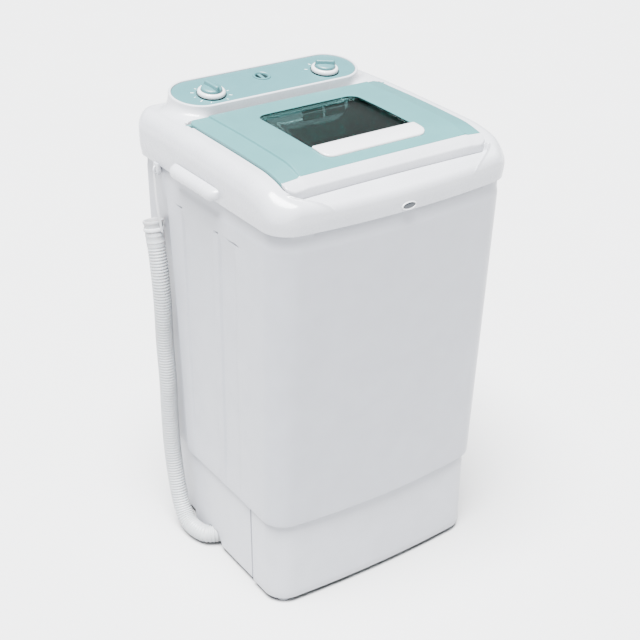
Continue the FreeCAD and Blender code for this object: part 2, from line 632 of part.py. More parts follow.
def overflow_pipe():
    route = [(OVERFLOW_X, 128.5, OVERFLOW_Z), (OVERFLOW_X, 146, 503), (OVERFLOW_X, 153, 486),
             (OVERFLOW_X, 152, 440), (OVERFLOW_X - 2, 150, 380), (OVERFLOW_X, 149, 310),
             (OVERFLOW_X - 4, 149, 250), (OVERFLOW_X - 14, 148, 216),
             (-8, 147, 204), (-44, 146, 202)]
    pipe = tube(route, 7.0, 5.0, "overflow_pipe")
    return pipe.cut(loft(tub_wires(0.0))).cut(cylinder(18.0, 150, 260, VALVE_X, VALVE_Y))


# ---------------------------------------------------------------- pulsator and drive
def pulsator():
    profile = [(SHAFT_R, 222.0), (PULSATOR_R - 4, 222.0), (PULSATOR_R, 226.0), (PULSATOR_R, 230.0),
               (PULSATOR_R - 4, 230.0), (60.0, 232.0), (30.0, 240.0), (18.0, 247.0), (SHAFT_R, 248.0),
               (SHAFT_R, 222.0)]
    wire = Part.makePolygon([Vector(r, 0, z) for r, z in profile])
    disc = Part.Face(wire).revolve(Vector(0, 0, 0), Vector(0, 0, 1), 360)
    vanes = []
    for k in range(4):
        vane = side_prism([(14, 228), (86, 228), (86, 236), (60, 246), (20, 250), (14, 246)], -4.0, 4.0)
        vane.rotate(Vector(0, 0, 0), Vector(0, 0, 1), 90 * k + 45)
        vanes.append(vane)
    shape = fuse(disc, *vanes)
    for k in range(12):
        a = math.radians(30 * k + 15)
        shape = shape.cut(cylinder(3.0, 215, 260, 76 * math.cos(a), 76 * math.sin(a)))
    shape.translate(Vector(0, DRIVE_Y, 0))
    return shape


def pulsator_screw():
    return screw(8.0, 2.5, 10.0, 4.0, (0, DRIVE_Y, 248.0), (0, 0, 1))


def pulsator_shaft():
    shaft = cylinder(SHAFT_R, 128.0, 248.0, 0, DRIVE_Y)
    return shaft.cut(cylinder(2.5, 238.0, 249.0, 0, DRIVE_Y))


def bearing_housing():
    shape = fuse(ring(22.0, 16.0, 156.0, 211.0, 0, DRIVE_Y), ring(48.0, 16.0, 211.0, 215.0, 0, DRIVE_Y),
                 ring(17.0, 10.0, 180.0, 184.0, 0, DRIVE_Y))
    for k in range(6):
        web = box(20, 44, -1.5, 1.5, 190, 212)
        web = web.cut(side_prism([(-5, 180), (5, 180), (5, 189), (-5, 189)]))
        web.rotate(Vector(0, 0, 0), Vector(0, 0, 1), 60 * k)
        web.translate(Vector(0, DRIVE_Y, 0))
        shape = shape.fuse(web)
    return shape


def bearing(z0):
    return ring(16.0, SHAFT_R + RUN, z0, z0 + 9.0, 0, DRIVE_Y)


def shaft_seal():
    return ring(16.0, SHAFT_R + RUN, 208.0, 217.0, 0, DRIVE_Y)


def pulley(x, y, r_groove, flange, bore):
    """Belt pulley with a flat-bottomed groove between two rims."""
    half = BELT_H / 2 + BELT_GAP
    drum = cylinder(r_groove, BELT_Z - half - 2.5, BELT_Z + half + 2.5, x, y)
    for z0 in (BELT_Z - half - 2.5, BELT_Z + half):
        drum = drum.fuse(cylinder(r_groove + flange, z0, z0 + 2.5, x, y))
    return drum.cut(cylinder(bore, 100, 200, x, y)).removeSplitter()


def driven_pulley():
    shape = pulley(0, DRIVE_Y, BIG_PULLEY_R, 6.0, SHAFT_R)
    for k in range(6):
        a = math.radians(60 * k)
        shape = shape.cut(cylinder(13.0, 100, 200, 42 * math.cos(a), DRIVE_Y + 42 * math.sin(a)))
    return shape


def pulley_nut():
    angles = [math.radians(a) for a in range(0, 361, 60)]
    points = [Vector(10 * math.cos(a), 10 * math.sin(a), 130) for a in angles]
    nut = Part.Face(Part.makePolygon(points)).extrude(Vector(0, 0, 7.6))
    nut.translate(Vector(0, DRIVE_Y, 0))
    return nut.cut(cylinder(SHAFT_R, 100, 200, 0, DRIVE_Y))


def belt_loop(r_big, r_small, z0, z1):
    """Solid inside a belt line round both pulleys."""
    dx, dy = MOTOR_X, MOTOR_Y - DRIVE_Y
    span = math.hypot(dx, dy)
    heading = math.atan2(dy, dx)
    spread = math.acos((r_big - r_small) / span)

    def at(cx, cy, r, a):
        return Vector(cx + r * math.cos(a), cy + r * math.sin(a), z0)

    a0, a1 = heading + spread, heading - spread
    big0, big1 = at(0, DRIVE_Y, r_big, a0), at(0, DRIVE_Y, r_big, a1)
    small0, small1 = at(MOTOR_X, MOTOR_Y, r_small, a0), at(MOTOR_X, MOTOR_Y, r_small, a1)
    wire = Part.Wire([
        Part.Arc(big0, at(0, DRIVE_Y, r_big, heading + math.pi), big1).toShape(),
        Part.makeLine(big1, small1),
        Part.Arc(small1, at(MOTOR_X, MOTOR_Y, r_small, heading), small0).toShape(),
        Part.makeLine(small0, big0),
    ])
    return Part.Face(wire).extrude(Vector(0, 0, z1 - z0))


def drive_belt():
    z0, z1 = BELT_Z - BELT_H / 2, BELT_Z + BELT_H / 2
    big, small = BIG_PULLEY_R + BELT_GAP, SMALL_PULLEY_R + BELT_GAP
    return belt_loop(big + BELT_T, small + BELT_T, z0, z1).cut(belt_loop(big, small, z0 - 1, z1 + 1))


def motor_body():
    can = cylinder(MOTOR_R, 42, 116, MOTOR_X, MOTOR_Y)
    stack = cylinder(MOTOR_R + 3, 64, 96, MOTOR_X, MOTOR_Y)
    flange = slab(116, 120, 44, MOTOR_Y - 44, MOTOR_Y + 44, 10, MOTOR_X)
    neck = cylinder(12, 120, 126, MOTOR_X, MOTOR_Y)
    shape = fuse(can, stack, flange, neck).cut(cylinder(MOTOR_SHAFT_R + RUN, 50, 130, MOTOR_X, MOTOR_Y))
    for x, y in MOTOR_BOLTS:
        shape = shape.cut(cylinder(BOLT_R, 110, 130, x, y))
    return shape


def motor_shaft():
    return cylinder(MOTOR_SHAFT_R, 52.0, 152.0, MOTOR_X, MOTOR_Y)


def motor_pulley():
    return pulley(MOTOR_X, MOTOR_Y, SMALL_PULLEY_R, 8.0, MOTOR_SHAFT_R)


def motor_bracket():
    plate = slab(120, 123, 62, MOTOR_Y - 54, MOTOR_Y + 54, 8, MOTOR_X)
    plate = plate.cut(cylinder(13, 110, 130, MOTOR_X, MOTOR_Y))
    posts = [cylinder(5.0, FOOT_H + WALL + 6, 120, x, y) for x, y in POST_POINTS]
    stubs = [cylinder(2.4, FOOT_H - 1, FOOT_H + WALL + 6, x, y) for x, y in POST_POINTS]
    shape = fuse(plate, *posts, *stubs)
    for x, y in MOTOR_BOLTS:
        shape = shape.cut(cylinder(BOLT_R, 110, 130, x, y))
    return shape


def motor_grommets():
    rings = []
    for x, y in POST_POINTS:
        top = ring(9.0, 2.4, FOOT_H + WALL, FOOT_H + WALL + 6, x, y)
        rings.append(top.fuse(ring(5.2, 2.4, FOOT_H, FOOT_H + WALL, x, y)))
    return Part.makeCompound(rings)


def motor_bolts():
    return Part.makeCompound([screw(4.5, BOLT_R, 7.0, 3.0, (x, y, 123.0), (0, 0, 1)) for x, y in MOTOR_BOLTS])


def capacitor():
    can = rod(17.0, (-20, -85, 29), (50, -85, 29))
    saddle = box(0, 30, -105, -65, FOOT_H + WALL, 16).cut(rod(17.0, (-30, -85, 29), (60, -85, 29)))
    return can.fuse(saddle)


def wiring_harness():
    route = [(105, 128, 612), (116, 131, 609), (121, 143, 592), (116, 154, 562), (109, 160, 516),
             (104, 158, 440), (106, 160, 350), (100, 157, 262), (98, 150, 196), (94, 136, 150),
             (92, 118, 118), (93, 103, 96), (92.5, 94, 88), (92, 88.6, 80)]
    pipe = tube(route, 3.5, 0.0, "wiring_harness")
    return pipe.cut(motor_body()).cut(switch_body(1, *SELECTOR_BLOCK))


# ---------------------------------------------------------------- drain
def drain_valve_body():
    cup = ring(18.0, 15.0, 175.0, 246.0, VALVE_X, VALVE_Y)
    floor = ring(18.0, 9.0, 172.0, 175.0, VALVE_X, VALVE_Y)
    cap = ring(18.0, 3.2, 246.0, 249.0, VALVE_X, VALVE_Y)
    inlet = rod(11.0, (VALVE_X, 112, 232), (VALVE_X, VALVE_Y - 12, 232))
    inlet = inlet.cut(cylinder(15.0, 170, 250, VALVE_X, VALVE_Y)).cut(loft(tub_wires(0.0)))
    shape = fuse(cup, floor, cap, inlet)
    shape = shape.cut(rod(9.0, (VALVE_X, 100, 232), (VALVE_X, VALVE_Y - 8, 232)))
    return shape.cut(rod(5.0, (-46, VALVE_Y, 202), (-38, VALVE_Y, 202)))


def drain_valve_plunger():
    """Rubber-faced plunger that closes the outlet, with its stem."""
    return fuse(cylinder(12.5, 175.0, 181.0, VALVE_X, VALVE_Y), cylinder(8.0, 181.0, 186.0, VALVE_X, VALVE_Y),
                cylinder(2.6, 186.0, 262.0, VALVE_X, VALVE_Y))


def drain_valve_spring():
    """Coil spring between the plunger and the valve's cap."""
    helix = Part.makeHelix(11.0, 55.0, 6.0)
    circle = Part.Wire([Part.Circle(Vector(6.0, 0, 0), Vector(0, 1, 0.3), 0.8).toShape()])
    coil = helix.makePipeShell([circle], True, True)
    coil.translate(Vector(VALVE_X, VALVE_Y, 188.5))
    return coil


def valve_strap():
    """Pull strap from the plunger's stem up to a finger that rests on the selector's cam."""
    foot = slab(262.0, 270.0, 6, VALVE_Y - 4, VALVE_Y + 4, 3, VALVE_X)
    y0, y1 = VALVE_Y - 1, VALVE_Y + 1
    lower = box(VALVE_X - 4, VALVE_X + 4, y0, y1, 270, 545)
    jog = box(VALVE_X - 4, KNOB_X - 20, y0, y1, 545, 553)
    upper = box(KNOB_X - 27, KNOB_X - 20, y0, y1, 553, FINGER_Z + 4)
    arm = box(KNOB_X - 24, KNOB_X - 20, FINGER_Y - 2, y0, FINGER_Z, FINGER_Z + 4)
    finger = box(KNOB_X - 20, KNOB_X - 9, FINGER_Y - 1.5, FINGER_Y + 1.5, FINGER_Z, FINGER_Z + 4)
    return fuse(foot, lower, jog, upper, arm, finger)


# ---------------------------------------------------------------- hose
def hose_cuff():
    """Smooth end fitting with a flared mouth, in line with the hose's first run."""
    start = Vector(*HOSE_ROUTE[0])
    along = (start - Vector(*HOSE_ROUTE[1])).normalize()
    body = Part.makeCylinder(HOSE_R, CUFF_LENGTH, start, along)
    flare = Part.makeCylinder(HOSE_R + 1.5, 4.0, start + along * (CUFF_LENGTH - 4.0), along)
    bore = Part.makeCylinder(CUFF_BORE, CUFF_LENGTH + 10, start - along * 5, along)
    return body.fuse(flare).cut(bore)


def hose_clip():
    """Clip on the housing's upper edge that the strap hangs from."""
    block = box(-179.0, -168.0, 113.0, 123.0, 548.0, HOUSING_TOP)
    return block.cut(shell_body([HOUSING_LOW, HOUSING_HIGH]).cut(channel(CHANNEL_X)))


def hose_strap():
    """Narrow strap from the clip down to the hose's neck."""
    top, low = Vector(-175.5, 117.5, 548.5), Vector(-173.5, 117.5, 464.0)
    strap = box(-1.0, 1.0, -3.0, 3.0, 0.0, (top - low).Length)
    strap.Placement = FreeCAD.Placement(low, Rotation(Vector(0, 0, 1), top - low))
    return strap.cut(hose_clip()).cut(hose_cuff())


def export(shapes):
    os.makedirs("parts", exist_ok=True)
    for name, shape in shapes.items():
        if shape.isNull() or not shape.isValid() or shape.Volume <= 0:
            raise ValueError("bad shape: " + name)
        shape.exportStep(os.path.join("parts", name + ".step"))
        b = shape.BoundBox
        print("%-22s solids %2d  volume %9.0f  x %7.1f %7.1f  y %7.1f %7.1f  z %6.1f %6.1f"
              % (name, len(shape.Solids), shape.Volume, b.XMin, b.XMax, b.YMin, b.YMax, b.ZMin, b.ZMax))


PARTS = {
    "tub_housing": tub_housing,
    "rear_cover": rear_cover,
    "rear_cover_screws": rear_cover_screws,
    "base_body": base_body,
    "base_front_cap": base_front_cap,
    "base_screws": base_screws,
    "feet": feet,
    "cord_gland": cord_gland,
    "top_cover": top_cover,
    "handle_left": lambda: handle(-1),
    "handle_right": lambda: handle(1),
    "badge": badge,
    "control_housing": control_housing,
    "control_panel": control_panel,
    "water_inlet_port": water_inlet_port,
    "wash_timer": lambda: switch_body(-1, *TIMER_BLOCK),
    "selector_switch": lambda: switch_body(1, *SELECTOR_BLOCK),
    "timer_shaft": lambda: knob_shaft(-1, -16.0),
    "selector_shaft": lambda: knob_shaft(1, CAM_W - 5.0),
    "selector_cam": selector_cam,
    "timer_knob": lambda: knob(-1),
    "selector_knob": lambda: knob(1),
    "timer_knob_grip": lambda: knob_grip(-1, 10.0),
    "selector_knob_grip": lambda: knob_grip(1, 63.0),
    "lid_frame": lid_frame,
    "lid_front_band": lid_front_band,
    "lid_window": lid_window,
    "lid_grip_bar": lid_grip_bar,
    "lid_hinge_pins": lid_hinge_pins,
    "wash_tub": wash_tub,
    "lint_filter_frame": lint_filter_frame,
    "lint_filter_mesh": lint_filter_mesh,
    "overflow_pipe": overflow_pipe,
    "pulsator": pulsator,
    "pulsator_screw": pulsator_screw,
    "pulsator_shaft": pulsator_shaft,
    "bearing_housing": bearing_housing,
    "upper_bearing": lambda: bearing(192.0),
    "lower_bearing": lambda: bearing(160.0),
    "shaft_seal": shaft_seal,
    "driven_pulley": driven_pulley,
    "pulley_nut": pulley_nut,
    "drive_belt": drive_belt,
    "motor_body": motor_body,
    "motor_shaft": motor_shaft,
    "motor_pulley": motor_pulley,
    "motor_bracket": motor_bracket,
    "motor_grommets": motor_grommets,
    "motor_bolts": motor_bolts,
    "capacitor": capacitor,
    "wiring_harness": wiring_harness,
    "drain_valve_body": drain_valve_body,
    "drain_valve_plunger": drain_valve_plunger,
    "drain_valve_spring": drain_valve_spring,
    "valve_strap": valve_strap,
    "drain_pipe": lambda: tube(DRAIN_ROUTE, 11.0, 8.5, "drain_pipe"),
    "drain_hose": lambda: tube(HOSE_ROUTE, HOSE_R, HOSE_BORE, "drain_hose"),
    "hose_cuff": hose_cuff,
    "hose_clip": hose_clip,
    "hose_strap": hose_strap,
}

export({name: make() for name, make in PARTS.items()})
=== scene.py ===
import json
import math

import bmesh
import bpy
import numpy as np
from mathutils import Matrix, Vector


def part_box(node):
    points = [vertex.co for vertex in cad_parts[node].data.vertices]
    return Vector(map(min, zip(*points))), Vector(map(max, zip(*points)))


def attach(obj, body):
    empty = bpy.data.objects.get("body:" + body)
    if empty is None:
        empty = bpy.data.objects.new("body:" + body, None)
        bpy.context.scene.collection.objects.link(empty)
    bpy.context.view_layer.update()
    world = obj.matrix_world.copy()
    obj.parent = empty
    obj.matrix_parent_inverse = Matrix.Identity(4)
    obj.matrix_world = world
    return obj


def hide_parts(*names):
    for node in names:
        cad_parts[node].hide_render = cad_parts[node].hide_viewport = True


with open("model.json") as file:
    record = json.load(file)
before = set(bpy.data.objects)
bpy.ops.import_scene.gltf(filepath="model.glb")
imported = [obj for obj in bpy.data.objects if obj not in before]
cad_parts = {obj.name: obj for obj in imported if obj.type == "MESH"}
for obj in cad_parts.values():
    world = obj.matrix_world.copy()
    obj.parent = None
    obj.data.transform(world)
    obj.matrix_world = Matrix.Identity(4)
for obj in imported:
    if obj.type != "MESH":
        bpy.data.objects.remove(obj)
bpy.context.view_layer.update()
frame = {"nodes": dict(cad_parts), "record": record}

# Single-tub washing machine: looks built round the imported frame. Lengths here are in millimetres,
# in the frame's own axes; meshes are written in metres.
MM = 0.001


def box_mm(node):
    low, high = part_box(node)
    return [c / MM for c in low], [c / MM for c in high]


# ---------------------------------------------------------------- driving dimensions
HOUSING_LOW = (168.5, -137.5, 176.0, 13.8, 33.0, 28.0)      # half width, front, rear, bow, corner radii
HOUSING_HIGH = (171.6, -163.2, 178.0, 15.0, 38.0, 28.0)
BASE_LOW = (162.5, -131.4, 170.0, 7.9, 32.0, 26.0)
BASE_HIGH = (162.5, -132.4, 172.0, 9.0, 32.0, 26.0)
COVER = (176.0, -166.7, 182.5, 15.0, 38.0, 30.0)
BASE_TOP = box_mm("base_body")[1][2]
BASE_FLOOR = box_mm("base_body")[0][2]
HOUSING_TOP = box_mm("tub_housing")[1][2]
SEAM_Z = box_mm("top_cover")[0][2]
WALL = 3.0
COUNTS = (100, 40, 48, 20)       # stations along half the front, a corner, a side and half the rear

# Channel for the hose: front edge as (z, y), and how far in its wall stands
CHANNEL_EDGE = [(0.0, 87.5), (280.0, 92.0), (430.0, 97.5), (513.0, 101.5), (524.0, 111.5), (557.0, 115.5),
                (640.0, 115.5)]
SEAM_GROOVE = (-74.5, -68.4)     # y of the gap behind the base's front panel
HOUSING_CHANNEL_X = -162.0
BASE_CHANNEL_X = -151.0

# Lid
LID_HALF_W = box_mm("lid_frame")[1][0]
LID_REAR = box_mm("lid_frame")[1][1]
LID_SPLIT = box_mm("lid_frame")[0][1]
LID_FRONT = box_mm("lid_front_band")[0][1]
LID_R = 14.0
LID_LINE = [(-152.5, 596.5), (-144.0, 605.0), (LID_SPLIT, 610.0), (-95.0, 616.8), (30.0, 619.8), (90.0, 619.8)]
LID_BAND_RISE = 3.4
LID_STEP = 2.3                  # sharp edge of the raised middle
LID_CROWN = 0.8
LID_SIDE_BAND = 24.0            # sloping band along the sides, outside the raised middle
LID_REAR_BAND = 11.0
LID_SIDE_STEP = (LID_SIDE_BAND, LID_SIDE_BAND + 1.6)
LID_REAR_STEP = (LID_REAR_BAND, LID_REAR_BAND + 1.6)
LID_SKIRT = 8.0
BAND_SKIRT = 10.4
WINDOW = (75.0, -87.0, 36.0)
GRIP_BAR = (76.0, -119.0, -89.0)
SEAT = (147.7, -149.5, 88.5)
OPENING = (135.0, -125.0, 60.0)

# Control panel
TILT = math.radians(9.2)
PANEL_Y, PANEL_Z = 128.0, 634.3
PANEL_HALF_L, PANEL_HALF_H, PANEL_MID = 137.0, 35.8, 3.3
KNOB_X, KNOB_V = 88.0, -5.6
INLET_V, INLET_R = 14.0, 8.0

# The hose's route, from where it leaves the base up to its cuff
HOSE_ROUTE = [(-138, 31, 15.5), (-165, 35, 15.5), (-176, 54, 14.6), (-178.5, 80, 15.2), (-178.8, 99, 32),
              (-178.5, 111, 76), (-178, 119.5, 124), (-178, 120.5, 182), (-178, 118, 240),
              (-178, 121.5, 298), (-178.5, 118, 356), (-179, 120, 408),
              (-178, 128, 446)]
HOSE_R = 12.5


# ---------------------------------------------------------------- camera
def make_camera():
    target = Vector((0.28, 4.5, 329.37)) * MM
    place = Vector((-862.5, -1261.8, 1159.0)) * MM
    data = bpy.data.cameras.new("camera")
    data.lens = 71.9
    data.sensor_width = 36.0
    camera = bpy.data.objects.new("camera", data)
    bpy.context.scene.collection.objects.link(camera)
    camera.location = place
    camera.rotation_euler = (target - place).to_track_quat("-Z", "Y").to_euler()
    bpy.context.scene.camera = camera


# ---------------------------------------------------------------- mesh helpers
def curve(x, knots):
    """Smooth curve through (x, y) knots, with no overshoot."""
    kx, ky = np.array(knots, float).T
    step = np.diff(kx)
    slope = np.diff(ky) / step
    m = np.zeros(len(kx))
    m[0], m[-1] = slope[0], slope[-1]
    same = slope[:-1] * slope[1:] > 0
    total = np.where(same, slope[:-1] + slope[1:], 1.0)
    m[1:-1] = np.where(same, 2 * slope[:-1] * slope[1:] / total, 0.0)
    x = np.clip(x, kx[0], kx[-1])
    i = np.clip(np.searchsorted(kx, x) - 1, 0, len(kx) - 2)
    t = (x - kx[i]) / step[i]
    return (ky[i] * (1 + 2 * t) * (1 - t) ** 2 + ky[i + 1] * t * t * (3 - 2 * t)
            + step[i] * (m[i] * t * (1 - t) ** 2 - m[i + 1] * t * t * (1 - t)))


def ease(x, low, high):
    t = np.clip((x - low) / (high - low), 0.0, 1.0)
    return t * t * (3 - 2 * t)


def outline(half_w, front, rear, bow=0.01, r_front=14.0, r_rear=14.0, inset=0.0, side_ys=None, counts=COUNTS):
    """Closed plan outline, counter-clockwise from the middle of the front: points and outward normals."""
    half_w, front, rear = half_w - inset, front + inset, rear - inset
    r_front, r_rear = max(r_front - inset, 0.4), max(r_rear - inset, 0.4)
    n_front, n_corner, n_side, n_rear = counts
    bow_r = (half_w ** 2 + bow ** 2) / (2 * bow)
    bow_y = front - bow + bow_r
    cx = half_w - r_front
    cy = bow_y - math.sqrt((bow_r - r_front) ** 2 - cx ** 2)
    meet = math.atan2(cy - bow_y, cx)
    points, normals = [], []

    def add(x, y, a):
        points.append((x, y))
        normals.append((math.cos(a), math.sin(a)))

    for a in np.linspace(-math.pi / 2, meet, n_front, endpoint=False):
        add(bow_r * math.cos(a), bow_y + bow_r * math.sin(a), a)
    for a in np.linspace(meet, 0.0, n_corner, endpoint=False):
        add(cx + r_front * math.cos(a), cy + r_front * math.sin(a), a)
    ys = side_ys(cy, rear - r_rear) if side_ys else np.linspace(cy, rear - r_rear, n_side, endpoint=False)
    for y in ys:
        add(half_w, y, 0.0)
    for a in np.linspace(0.0, math.pi / 2, n_corner, endpoint=False):
        add(half_w - r_rear + r_rear * math.cos(a), rear - r_rear + r_rear * math.sin(a), a)
    for x in np.linspace(half_w - r_rear, 0.0, n_rear + 1):
        add(x, rear, math.pi / 2)
    half_p, half_n = np.array(points), np.array(normals)
    flip = np.array([-1.0, 1.0])
    return (np.concatenate([half_p, half_p[-2:0:-1] * flip]), np.concatenate([half_n, half_n[-2:0:-1] * flip]))


def ring(plan, z):
    return np.column_stack([plan, np.broadcast_to(z, len(plan))])


def add_object(name, vertices, faces, smooth=30.0):
    mesh = bpy.data.meshes.new(name)
    mesh.from_pydata([tuple(v) for v in np.asarray(vertices) * MM], [], faces)
    mesh.validate()
    bm = bmesh.new()
    bm.from_mesh(mesh)
    bmesh.ops.remove_doubles(bm, verts=bm.verts, dist=1e-6)
    bmesh.ops.recalc_face_normals(bm, faces=bm.faces)
    bm.to_mesh(mesh)
    bm.free()
    mesh.shade_smooth()
    mesh.set_sharp_from_angle(angle=math.radians(smooth))
    obj = bpy.data.objects.new(name, mesh)
    bpy.context.scene.collection.objects.link(obj)
    return obj


def ring_faces(count, size, closed=False, caps=False, offset=0):
    faces = []
    for i in range(count if closed else count - 1):
        a, b = offset + i * size, offset + (i + 1) % count * size
        for j in range(size):
            k = (j + 1) % size
            faces.append((a + j, a + k, b + k, b + j))
    if caps:
        faces.append(tuple(range(offset + size - 1, offset - 1, -1)))
        faces.append(tuple(range(offset + (count - 1) * size, offset + count * size)))
    return faces


def loft(name, rings, closed=False, caps=False, smooth=30.0):
    """One mesh from rings of equal length."""
    return add_object(name, np.concatenate(rings), ring_faces(len(rings), len(rings[0]), closed, caps), smooth)


def lofts(name, groups, smooth=30.0):
    """One mesh from several capped lofts."""
    vertices, faces = [], []
    for rings in groups:
        start = sum(len(v) for v in vertices)
        faces += ring_faces(len(rings), len(rings[0]), False, True, start)
        vertices.append(np.concatenate(rings))
    return add_object(name, np.concatenate(vertices), faces, smooth)


def joined(first, second):
    """Two loose pieces as one object."""
    bm = bmesh.new()
    bm.from_mesh(first.data)
    bm.from_mesh(second.data)
    bm.to_mesh(first.data)
    bm.free()
    bpy.data.objects.remove(second)
    return first


def piece(obj, body, slot, *replaced):
    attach(obj, body)
    if replaced:
        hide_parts(*replaced)
    obj.data.materials.append(MATERIALS[slot])
    return obj


def on_panel(points):
    """Panel coordinates (z along its normal) to the frame's."""
    u, v, w = np.asarray(points, float).T
    c, s = math.cos(TILT), math.sin(TILT)
    return np.column_stack([u, PANEL_Y + v * c - w * s, PANEL_Z + v * s + w * c])


def circle(r, z=0.0, x=0.0, y=0.0, n=64, squeeze=1.0):
    a = np.linspace(0, 2 * math.pi, n, endpoint=False)
    return np.column_stack([x + r * np.cos(a), y + r * squeeze * np.sin(a), np.full(n, z)])


# ---------------------------------------------------------------- materials
def noise(tree, scale, detail, source, rough=0.5):
    node = tree.nodes.new("ShaderNodeTexNoise")
    node.inputs["Scale"].default_value = scale
    node.inputs["Detail"].default_value = detail
    node.inputs["Roughness"].default_value = rough
    tree.links.new(source, node.inputs["Vector"])
    return node.outputs["Fac"]


def remap(tree, value, low, high):
    node = tree.nodes.new("ShaderNodeMapRange")
    node.inputs["From Min"].default_value = 0.3
    node.inputs["From Max"].default_value = 0.7
    node.inputs["To Min"].default_value = low
    node.inputs["To Max"].default_value = high
    tree.links.new(value, node.inputs["Value"])
    return node.outputs["Result"]


def two_tones(tree, value, first, second):
    node = tree.nodes.new("ShaderNodeValToRGB")
    node.color_ramp.elements[0].position = 0.3
    node.color_ramp.elements[0].color = (*first, 1)
    node.color_ramp.elements[1].position = 0.7
    node.color_ramp.elements[1].color = (*second, 1)
    tree.links.new(value, node.inputs["Fac"])
    return node.outputs["Color"]


def bump(tree, height, shader, strength, distance):
    node = tree.nodes.new("ShaderNodeBump")
    node.inputs["Strength"].default_value = strength
    node.inputs["Distance"].default_value = distance
    tree.links.new(height, node.inputs["Height"])
    tree.links.new(node.outputs["Normal"], shader.inputs["Normal"])


def surface_material(name, colour, rough, grain=1500.0, depth=0.00006, tone=0.03, mottle=30.0,
                     stretch=(1, 1, 1), **sockets):
    """A finish with slight tone and gloss variation and its own fine grain."""
    material = bpy.data.materials.new(name)
    material.use_nodes = True
    tree = material.node_tree
    shader = tree.nodes["Principled BSDF"]
    place = tree.nodes.new("ShaderNodeTexCoord").outputs["Object"]
    mapping = tree.nodes.new("ShaderNodeMapping")
    mapping.inputs["Scale"].default_value = stretch
    tree.links.new(place, mapping.inputs["Vector"])
    place = mapping.outputs["Vector"]
    broad = noise(tree, mottle, 3.0, place)
    darker = [c * (1 - tone) for c in colour]
    lighter = [min(c * (1 + tone), 1.0) for c in colour]
    tree.links.new(two_tones(tree, broad, darker, lighter), shader.inputs["Base Color"])
    smudge = noise(tree, mottle * 2.7, 4.0, place, 0.6)
    tree.links.new(remap(tree, smudge, rough * 0.88, min(rough * 1.12, 1.0)), shader.inputs["Roughness"])
    bump(tree, noise(tree, grain, 2.0, place), shader, 0.5, depth)
    for socket, value in sockets.items():
        shader.inputs[socket.replace("_", " ")].default_value = value
    return material


def tinted_pane():
    material = surface_material("window_tint", (0.17, 0.40, 0.36), 0.03, grain=260.0, depth=0.00001,
                                tone=0.05, mottle=14.0, Transmission_Weight=1.0, IOR=1.46)
    return material


def ribbed_plastic():
    return surface_material("hose_plastic", (0.34, 0.348, 0.36), 0.42, grain=2200.0, depth=0.00005, tone=0.05,
                            mottle=60.0, Subsurface_Weight=0.05)


MATERIALS = {
    # These three whites stand for one white plastic. Their lightness differs as painted light and shade: the body is
    # darker for its shaded sides, the cover is lighter for its lit top, and the base is in between
    "white_body": surface_material("white_body", (0.315, 0.327, 0.362), 0.34, Coat_Weight=0.12),
    "white_base": surface_material("white_base", (0.375, 0.386, 0.42), 0.36, Coat_Weight=0.1),
    "white_cover": surface_material("white_cover", (0.42, 0.433, 0.465), 0.28, Coat_Weight=0.2),
    "white_knob": surface_material("white_knob", (0.50, 0.51, 0.53), 0.28, Coat_Weight=0.25),
    "teal_lid": surface_material("teal_lid", (0.052, 0.158, 0.165), 0.32, Coat_Weight=0.2),
    "teal_panel": surface_material("teal_panel", (0.044, 0.132, 0.144), 0.40, grain=1100.0, depth=0.00009),
    "window_tint": tinted_pane(),
    "tub_plastic": surface_material("tub_plastic", (0.42, 0.45, 0.44), 0.38),
    "pulsator_plastic": surface_material("pulsator_plastic", (0.42, 0.55, 0.57), 0.35),
    "filter_teal": surface_material("filter_teal", (0.10, 0.42, 0.42), 0.45, tone=0.06),
    "mesh_nylon": surface_material("mesh_nylon", (0.55, 0.60, 0.60), 0.7, grain=3000.0, depth=0.0001),
    "badge_dark": surface_material("badge_dark", (0.02, 0.026, 0.034), 0.4, Coat_Weight=0.15),
    "hose_plastic": ribbed_plastic(),
    "strap_plastic": surface_material("strap_plastic", (0.48, 0.49, 0.51), 0.4, grain=2500.0),
    "pipe_grey": surface_material("pipe_grey", (0.38, 0.39, 0.41), 0.5),
    "switch_plastic": surface_material("switch_plastic", (0.62, 0.60, 0.54), 0.5, tone=0.05),
    "black_plastic": surface_material("black_plastic", (0.022, 0.022, 0.025), 0.5, tone=0.2),
    "black_rubber": surface_material("black_rubber", (0.018, 0.018, 0.02), 0.72, grain=900.0, depth=0.0001,
                                     tone=0.25),
    "foot_rubber": surface_material("foot_rubber", (0.22, 0.23, 0.25), 0.7, grain=900.0, depth=0.0001, tone=0.12),
    "shaft_steel": surface_material("shaft_steel", (0.58, 0.58, 0.60), 0.25, stretch=(1, 1, 0.04), tone=0.08,
                                    Metallic=1.0),
    "screw_steel": surface_material("screw_steel", (0.62, 0.62, 0.64), 0.28, tone=0.1, mottle=200.0, Metallic=1.0),
    "bearing_steel": surface_material("bearing_steel", (0.60, 0.60, 0.62), 0.18, tone=0.06, Metallic=1.0),
    "bearing_alloy": surface_material("bearing_alloy", (0.52, 0.53, 0.55), 0.42, grain=700.0, depth=0.00012,
                                      tone=0.1, Metallic=1.0),
    "bracket_steel": surface_material("bracket_steel", (0.05, 0.05, 0.055), 0.5, grain=1000.0, depth=0.0001,
                                      tone=0.15),
    "motor_paint": surface_material("motor_paint", (0.08, 0.09, 0.10), 0.42, tone=0.12),
    "capacitor_can": surface_material("capacitor_can", (0.60, 0.61, 0.63), 0.34, stretch=(0.05, 1, 1), tone=0.08,
                                      Metallic=1.0),
    # painted shade: a near-black teal put on the sunk faces of the knob wells and the inlet bore, where only shade
    # falls
    "painted_gap_shade": surface_material("painted_gap_shade", (0.02, 0.05, 0.055), 0.7, tone=0.2),
    "print_pale": surface_material("print_pale", (0.72, 0.80, 0.81), 0.5, tone=0.06),
}


